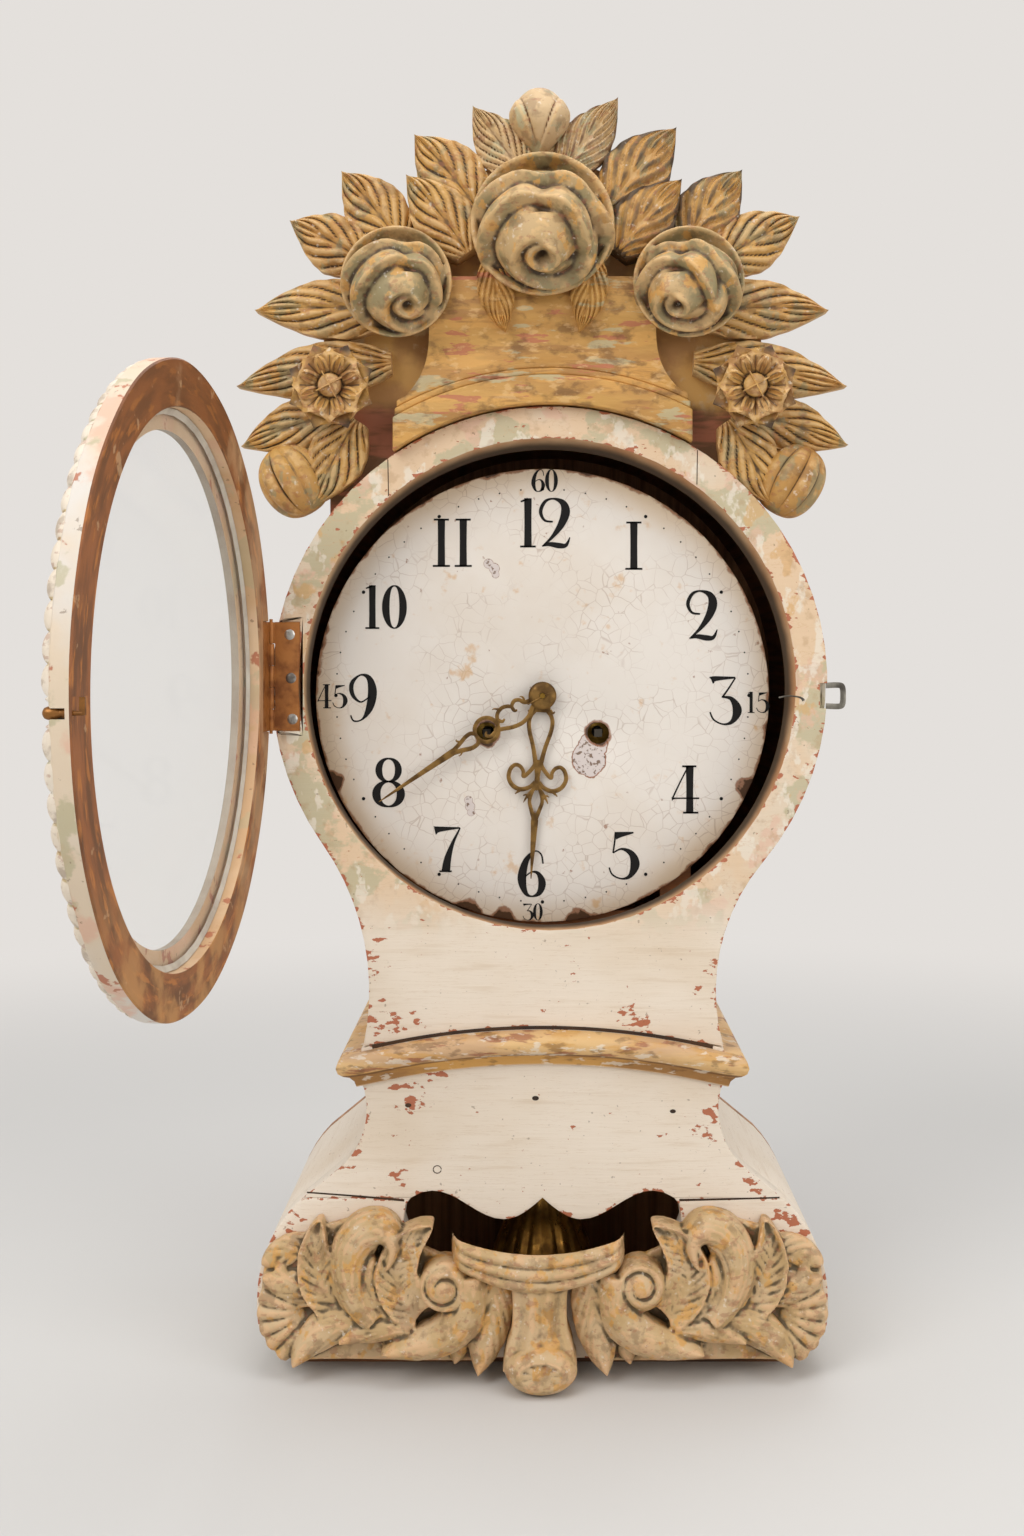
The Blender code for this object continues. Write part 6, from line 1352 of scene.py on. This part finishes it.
def enamelFinish():  # cracked ivory paint on iron, rusty at the edge and the holes, chipped in places
    coat, tree, shader, where = newFinish("dial_enamel", 0.42)
    radius = flatRadius(tree, where, 0, clock["arborZ"])
    cloud = fuzz(tree, where, 9, 4)
    colour = over(tree, ease(tree, cloud, 0.44, 0.70, 0, 0.55), tint["enamel"], tint["enamelDark"])
    browned = reckon(tree, "ADD", radius, reckon(tree, "MULTIPLY", cloud, 0.02))
    colour = over(tree, ease(tree, browned, 0.148, 0.176, 0, 0.55), colour, tint["straw"])
    shake = put(tree, "TexNoise", {"Vector": where, "Scale": 70.0}).outputs["Color"]
    shake = put(tree, "VectorMath", {0: shake, 1: (0.006, 0, 0.006)}, operation="MULTIPLY").outputs[0]
    flat = put(tree, "VectorMath", {0: where, 1: (1, 0, 1)}, operation="MULTIPLY").outputs[0]
    warped = put(tree, "VectorMath", {0: flat, 1: shake}, operation="ADD").outputs[0]
    cells = put(tree, "TexVoronoi", {"Vector": warped, "Scale": 105.0}, feature="DISTANCE_TO_EDGE").outputs[0]
    crack = ease(tree, cells, 0.0, 0.035, 0.34, 0.0)
    crack = reckon(tree, "MULTIPLY", crack, ease(tree, fuzz(tree, where, 22, 3), 0.38, 0.62))
    colour = over(tree, crack, colour, tint["wood"])
    faint = [(-0.0496, 0.5026, 0.012), (-0.0575, 0.4904, 0.013), (0.059, 0.5551, 0.012), (-0.023, 0.3516, 0.017),
             (0.0231, 0.3991, 0.012), (-0.0668, 0.5522, 0.012), (0.1129, 0.5019, 0.010), (0.0446, 0.3222, 0.014)]
    stain = reckon(tree, "ADD", reckon(tree, "MULTIPLY", spotted(tree, where, faint), 0.17), fuzz(tree, where, 110, 7))
    colour = over(tree, ease(tree, stain, 0.62, 0.80, 0, 0.55), colour, tint["ochre"])
    colour = over(tree, ease(tree, fuzz(tree, where, 120, 4), 0.69, 0.74, 0, 0.7), colour, tint["rust"])
    patch = [(0.0331, 0.4270, 0.0185), (0.0360, 0.4360, 0.0150), (-0.0385, 0.5672, 0.0050), (-0.0345, 0.5640, 0.0056),
             (-0.0335, 0.5598, 0.0038), (-0.0530, 0.3978, 0.0042), (-0.0520, 0.3935, 0.0050), (-0.0513, 0.3893, 0.0038)]
    lost = reckon(tree, "ADD", spotted(tree, where, patch), reckon(tree, "MULTIPLY", fuzz(tree, where, 75, 7), 1.3))
    bare = ease(tree, lost, 1.12, 1.18)
    blotch = ease(tree, fuzz(tree, where, 300, 4), 0.54, 0.60, 0, 0.85)
    colour = over(tree, bare, colour, over(tree, blotch, tint["chalk"], tint["umber"]))
    colour = over(tree, reckon(tree, "MULTIPLY", ease(tree, lost, 1.02, 1.12), ease(tree, lost, 1.22, 1.14)),
                  colour, tint["rust"])
    eaten = [(0.1446, 0.4077, 0.010), (-0.0524, 0.3207, 0.012), (-0.0273, 0.3164, 0.010), (0.0252, 0.3150, 0.011),
             (-0.1488, 0.4120, 0.010)]
    edge = reckon(tree, "ADD", ease(tree, radius, 0.1555, 0.1650, 0, 0.62), fuzz(tree, where, 85, 6))
    edge = reckon(tree, "ADD", edge, reckon(tree, "MULTIPLY", spotted(tree, where, eaten), 0.55))
    for side in (-1, 1):
        hole = flatRadius(tree, where, side * dial["windX"], dial["windZ"])
        edge = reckon(tree, "ADD", edge, ease(tree, hole, 0.0075, 0.0135, 0.55, 0.0))
    colour = over(tree, ease(tree, edge, 0.82, 0.98, 0, 0.85), colour, tint["rust"])
    colour = over(tree, ease(tree, edge, 1.02, 1.10), colour, tint["darkWood"])
    coloured(tree, shader, colour)
    roughened(tree, shader, reckon(tree, "SUBTRACT", 1.0, reckon(tree, "MAXIMUM", crack, bare)), 0.0003, 0.5)
    return coat


given(eased("dial_plate", "enamel_dial", 0.0005), "case", enamelFinish(), "ivory_dial", "dial_plate")
ink, inkTree, inkShader, where = newFinish("dial_ink", 0.7)
inkShader.inputs["Base Color"].default_value = linear("#161413")
inkShader.inputs["Specular IOR Level"].default_value = 0.2
signs = [part for row in dialText for part in written(*row)] + [minuteDot(minute) for minute in range(60)]
given(joined(signs, "dial_figures"), "case", ink, "ivory_dial")
print("dial painted")

# pierced hands: lines as (along the hand, aside, half width), all in millimetres
hourHand = {"turn": 183.6, "node": "hour_hand", "both": [
    [(7, 4.5, 1.6), (11, 4.8, 1.6), (14, 7.0, 1.5), (19, 8.4, 1.5), (26, 7.6, 1.5), (36, 4.6, 1.5), (44, 2.8, 1.6),
     (49, 2.0, 1.6)],
    [(47, 1.6, 1.5), (52, 3.6, 1.5), (58.5, 9.6, 1.4), (54.6, 10.4, 1.3), (51.4, 12.8, 1.4), (50.6, 16.4, 1.4),
     (54, 19.6, 1.5), (60, 20.4, 1.5), (65.4, 17.2, 1.6), (67.8, 11.4, 1.6), (65.8, 5.0, 1.5), (62, 1.4, 1.5)],
    [(67.6, 10.4, 1.3), (69.4, 13.0, 0.9), (71.4, 15.2, 0.3)],
    [(68, 2.8, 1.4), (72.5, 6.4, 1.0), (77.0, 8.8, 0.3)],
    [(74, 4.6, 1.3), (71.5, 7.0, 0.8), (72.2, 9.4, 0.3)],
    [(64, 0.8, 1.4), (70, 3.4, 1.3), (76, 4.5, 1.3), (82, 2.9, 1.4), (89, 0.4, 1.6)],
    [(10, 6.0, 1.1), (12.2, 8.2, 0.8), (11.0, 9.6, 0.4)],
], "once": [[(46, 0, 1.0), (52, 0, 2.4), (58, 0, 1.8), (64, 0, 2.2), (68, 0, 0.6)],
            [(84, 0, 1.2), (89, 0, 2.6), (98, 0, 2.2), (112, 0, 1.6), (131, 0, 0.35)],
            [(4, 0, 6.4), (12, 0, 6.2)]]}
minuteHand = {"turn": 237.0, "node": "minute_hand", "both": [], "once": [
    [(6, 1.5, 2.0), (13, 2.8, 1.5), (15.5, 6.4, 1.4), (19.0, 7.8, 1.4), (22.4, 5.6, 1.3), (22.6, 2.0, 1.2),
     (20.6, 1.2, 0.7)],
    [(22.0, 4.6, 1.3), (25, 7.2, 1.4), (29, 8.4, 1.4), (33.5, 7.0, 1.4), (36.0, 3.4, 1.4), (34.2, 0.2, 1.2),
     (31.6, 0.8, 0.7)],
    [(6, -1.0, 2.0), (11, -3.4, 1.6), (16, -6.8, 1.5), (22.6, -8.4, 1.5), (30, -7.2, 1.5), (36.8, -4.4, 1.5),
     (42.5, -2.6, 1.4)],
    [(13, 3.2, 1.0), (12.4, 6.6, 0.7), (14.0, 8.4, 0.3)], [(31, 8.2, 1.0), (33.6, 10.6, 0.6), (35.6, 11.2, 0.3)],
    [(36.0, 2.8, 1.4), (39.0, -1.2, 1.5), (41.5, -2.4, 1.4)],
    [(46.6 + 8.6 * math.cos(math.radians(15 * step)), 1.3 + 8.6 * math.sin(math.radians(15 * step)), 1.4)
     for step in range(25)],
    [(41.5, -3.2, 1.4), (46.5, -4.2, 1.3), (49.0, -1.8, 1.1), (47.4, 0.2, 0.6)],
    [(54.6, -1.6, 1.6), (58.0, -3.9, 1.5), (63.0, -3.8, 1.6), (69, -1.6, 1.7), (77, 0.6, 1.6)],
    [(54.8, 3.0, 1.5), (57.6, 5.2, 1.5), (62.0, 5.2, 1.5), (68, 3.4, 1.5), (76, 1.4, 1.6)],
    [(72, 1.0, 2.4), (78, 1.0, 2.5), (92, 0.8, 2.0), (110, 0.5, 1.5), (128, 0.2, 0.9), (139, 0, 0.3)],
    [(67, 4.0, 0.9), (69.0, 6.2, 0.6), (68.4, 7.2, 0.3)], [(69, -1.8, 0.9), (71.6, -3.6, 0.5), (73.4, -3.6, 0.3)]]}


def pierced(hand, name):  # straps bent to the lines, fused at the crossings, and a boss round the arbor
    low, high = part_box(hand["node"])
    turn = math.radians(hand["turn"])
    lines = hand["once"] + hand["both"] + [[(s, -t, half) for s, t, half in line] for line in hand["both"]]
    parts = []
    for line in lines:
        bent = [(0.001 * (s * math.sin(turn) + t * math.cos(turn)),
                 clock["arborZ"] + 0.001 * (s * math.cos(turn) - t * math.sin(turn)), 0.001 * half)
                for s, t, half in line]
        parts.append(stroke(bent, low.y + 0.0003, high.y, 0.0003, 4, 6 * len(line)))
    boss = [(0.0034, 0), (0.009, 0), (0.009, high.y - low.y), (0.0034, high.y - low.y)]
    parts.append(lathe("boss", boss, 40, facingOut(0, high.y, clock["arborZ"])))
    return softened(joined(parts, name), 40)


given(pierced(hourHand, "hour_hand_pierced"), "hour_work", finish["darkBrass"], "dark_brass", "hour_hand")
given(pierced(minuteHand, "minute_hand_pierced"), "centre_arbor", finish["darkBrass"], "dark_brass", "minute_hand")

low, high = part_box("hand_collet")
dome = [(0.0022, 0), (0.0098, 0), (0.0100, 0.0006), (0.0092, 0.0017), (0.0068, 0.0026), (0.0022, 0.0030)]
dropAll()
bpy.ops.mesh.primitive_cylinder_add(vertices=10, radius=0.0005, depth=0.017, location=(-0.003, low.y - 0.0002, 0.4708),
                                    rotation=(0, math.radians(62), 0))
pin = settle(named("hand_pin"))
collet = joined([lathe("dome", dome, 44, facingOut(0, high.y, clock["arborZ"])), pin], "domed_collet")
given(softened(collet, 40), "centre_arbor", finish["darkBrass"], "dark_brass", "hand_collet")
print("hands pierced")

bob = {"flutes": 18, "depth": 0.055, "profile": [(0, 0.0966), (0.005, 0.0962), (0.011, 0.0925), (0.020, 0.083),
       (0.029, 0.069), (0.036, 0.052), (0.0393, 0.036), (0.0385, 0.026), (0.034, 0.0205), (0, 0.0186)]}
low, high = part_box("pendulum_bob")
fluted = lathe("fluted_bob", bob["profile"], 108)
for vert in fluted.data.vertices:
    share = min(1, max(0, (0.0966 - vert.co.z) / 0.03))
    ripple = 1 + bob["depth"] * share * (abs(math.cos(bob["flutes"] / 2 * math.atan2(vert.co.y, vert.co.x))) - 0.8)
    vert.co = (vert.co.x * ripple, vert.co.y * ripple + (low.y + high.y) / 2, vert.co.z)
given(softened(fluted, 40), "pendulum", finish["bob"], "brass", "pendulum_bob")
print("bob fluted")

# frame nodes that keep their own shape

plainNodes = {
    "insideWood": ["bottom_board"],
    "band": ["head_side_band"],
    "backWood": ["head_back_board", "base_back_board"],
    "seatWood": ["seat_board", "seat_cheek_left", "seat_cheek_right", "cheek_rail"],
    "glass": ["door_glass"],
    "putty": ["glazing_putty"],
    "copper": ["hinge_pin"],
    "steel": ["pallets", "hammer", "bell_standard", "pendulum_rod", "pendulum_cock"],
    "arbor": ["going_winding_arbor", "strike_winding_arbor"],
    "brass": ["front_plate", "back_plate", "going_barrel", "strike_barrel", "centre_wheel", "third_wheel",
              "escape_wheel", "pin_wheel", "cannon_pinion", "minute_wheel", "hour_wheel", "bell"],
}
for key, names in plainNodes.items():
    for nodeName in names:
        coated(nodeName, finish[key])
print("plain nodes coated")

# floor, light and camera

studio = {"floorR": 40.0, "fadeFrom": 0.7, "fadeTo": 1.9, "floor": "#D4D2CF", "pale": "#E4E0DC"}


def seenStraight(tree):  # 1 for what the eye, a mirror or a pane sees
    rays = put(tree, "LightPath", {}).outputs
    shiny = reckon(tree, "MAXIMUM", rays["Is Glossy Ray"], rays["Is Transmission Ray"])
    return reckon(tree, "MAXIMUM", rays["Is Camera Ray"], shiny)


def paleFloor():  # keeps the shadow by the clock, and goes over into the pale background further off
    dropAll()
    bpy.ops.mesh.primitive_circle_add(vertices=96, radius=studio["floorR"], fill_type="NGON")
    sheet = named("pale_floor")
    pale, tree, shader, where = newFinish("pale_floor", 0.85)
    shader.inputs["Base Color"].default_value = linear(studio["floor"])
    away = put(tree, "VectorMath", {0: where}, operation="LENGTH").outputs["Value"]
    share = reckon(tree, "MULTIPLY", ease(tree, away, studio["fadeFrom"], studio["fadeTo"]), seenStraight(tree))
    glow = put(tree, "Emission", {"Color": linear(studio["pale"]), "Strength": 1.0}).outputs[0]
    mixed = put(tree, "MixShader", {0: share, 1: shader.outputs[0], 2: glow}).outputs[0]
    tree.links.new(mixed, tree.nodes["Material Output"].inputs["Surface"])
    sheet.data.materials.append(pale)


def softLight(name, power, size, spot, target):
    bpy.ops.object.light_add(type="AREA", location=spot)
    lamp = bpy.context.object
    lamp.name = name
    lamp.data.energy = power
    lamp.data.size = size
    lamp.rotation_euler = (Vector(target) - Vector(spot)).to_track_quat("-Z", "Y").to_euler()


paleFloor()
softLight("key", 29, 1.4, (-1.3, -1.7, 1.9), (0, 0, 0.45))
softLight("fill", 17, 1.8, (1.6, -1.6, 1.3), (0, 0, 0.45))
softLight("top", 11, 1.2, (0.1, -0.3, 2.1), (0, 0.1, 0.5))
softLight("back", 14, 1.6, (0.5, 1.9, 2.4), (0, 0.05, 0.5))

world = bpy.data.worlds.new("studio")
world.use_nodes = True
sky = world.node_tree.nodes["Background"]
sky.inputs["Color"].default_value = linear("#F2F2F2")
sky.inputs["Strength"].default_value = 0.56
pale = put(world.node_tree, "Background", {"Color": linear(studio["pale"]), "Strength": 1.0})
mixed = put(world.node_tree, "MixShader", {0: seenStraight(world.node_tree), 1: sky.outputs[0], 2: pale.outputs[0]})
world.node_tree.links.new(mixed.outputs[0], world.node_tree.nodes["World Output"].inputs["Surface"])
bpy.context.scene.world = world
bpy.context.scene.view_settings.view_transform = "Standard"

lens = bpy.data.cameras.new("photo")
lens.lens = 42.9
lens.sensor_width = 36
lens.sensor_fit = "AUTO"
lens.shift_x = -0.018
lens.shift_y = -0.0736
eye = bpy.data.objects.new("photo", lens)
eye.location = (-0.002, -1.388, 0.502)
eye.rotation_euler = (math.radians(90), 0, 0)
bpy.context.scene.collection.objects.link(eye)
bpy.context.scene.camera = eye
print("stage set")
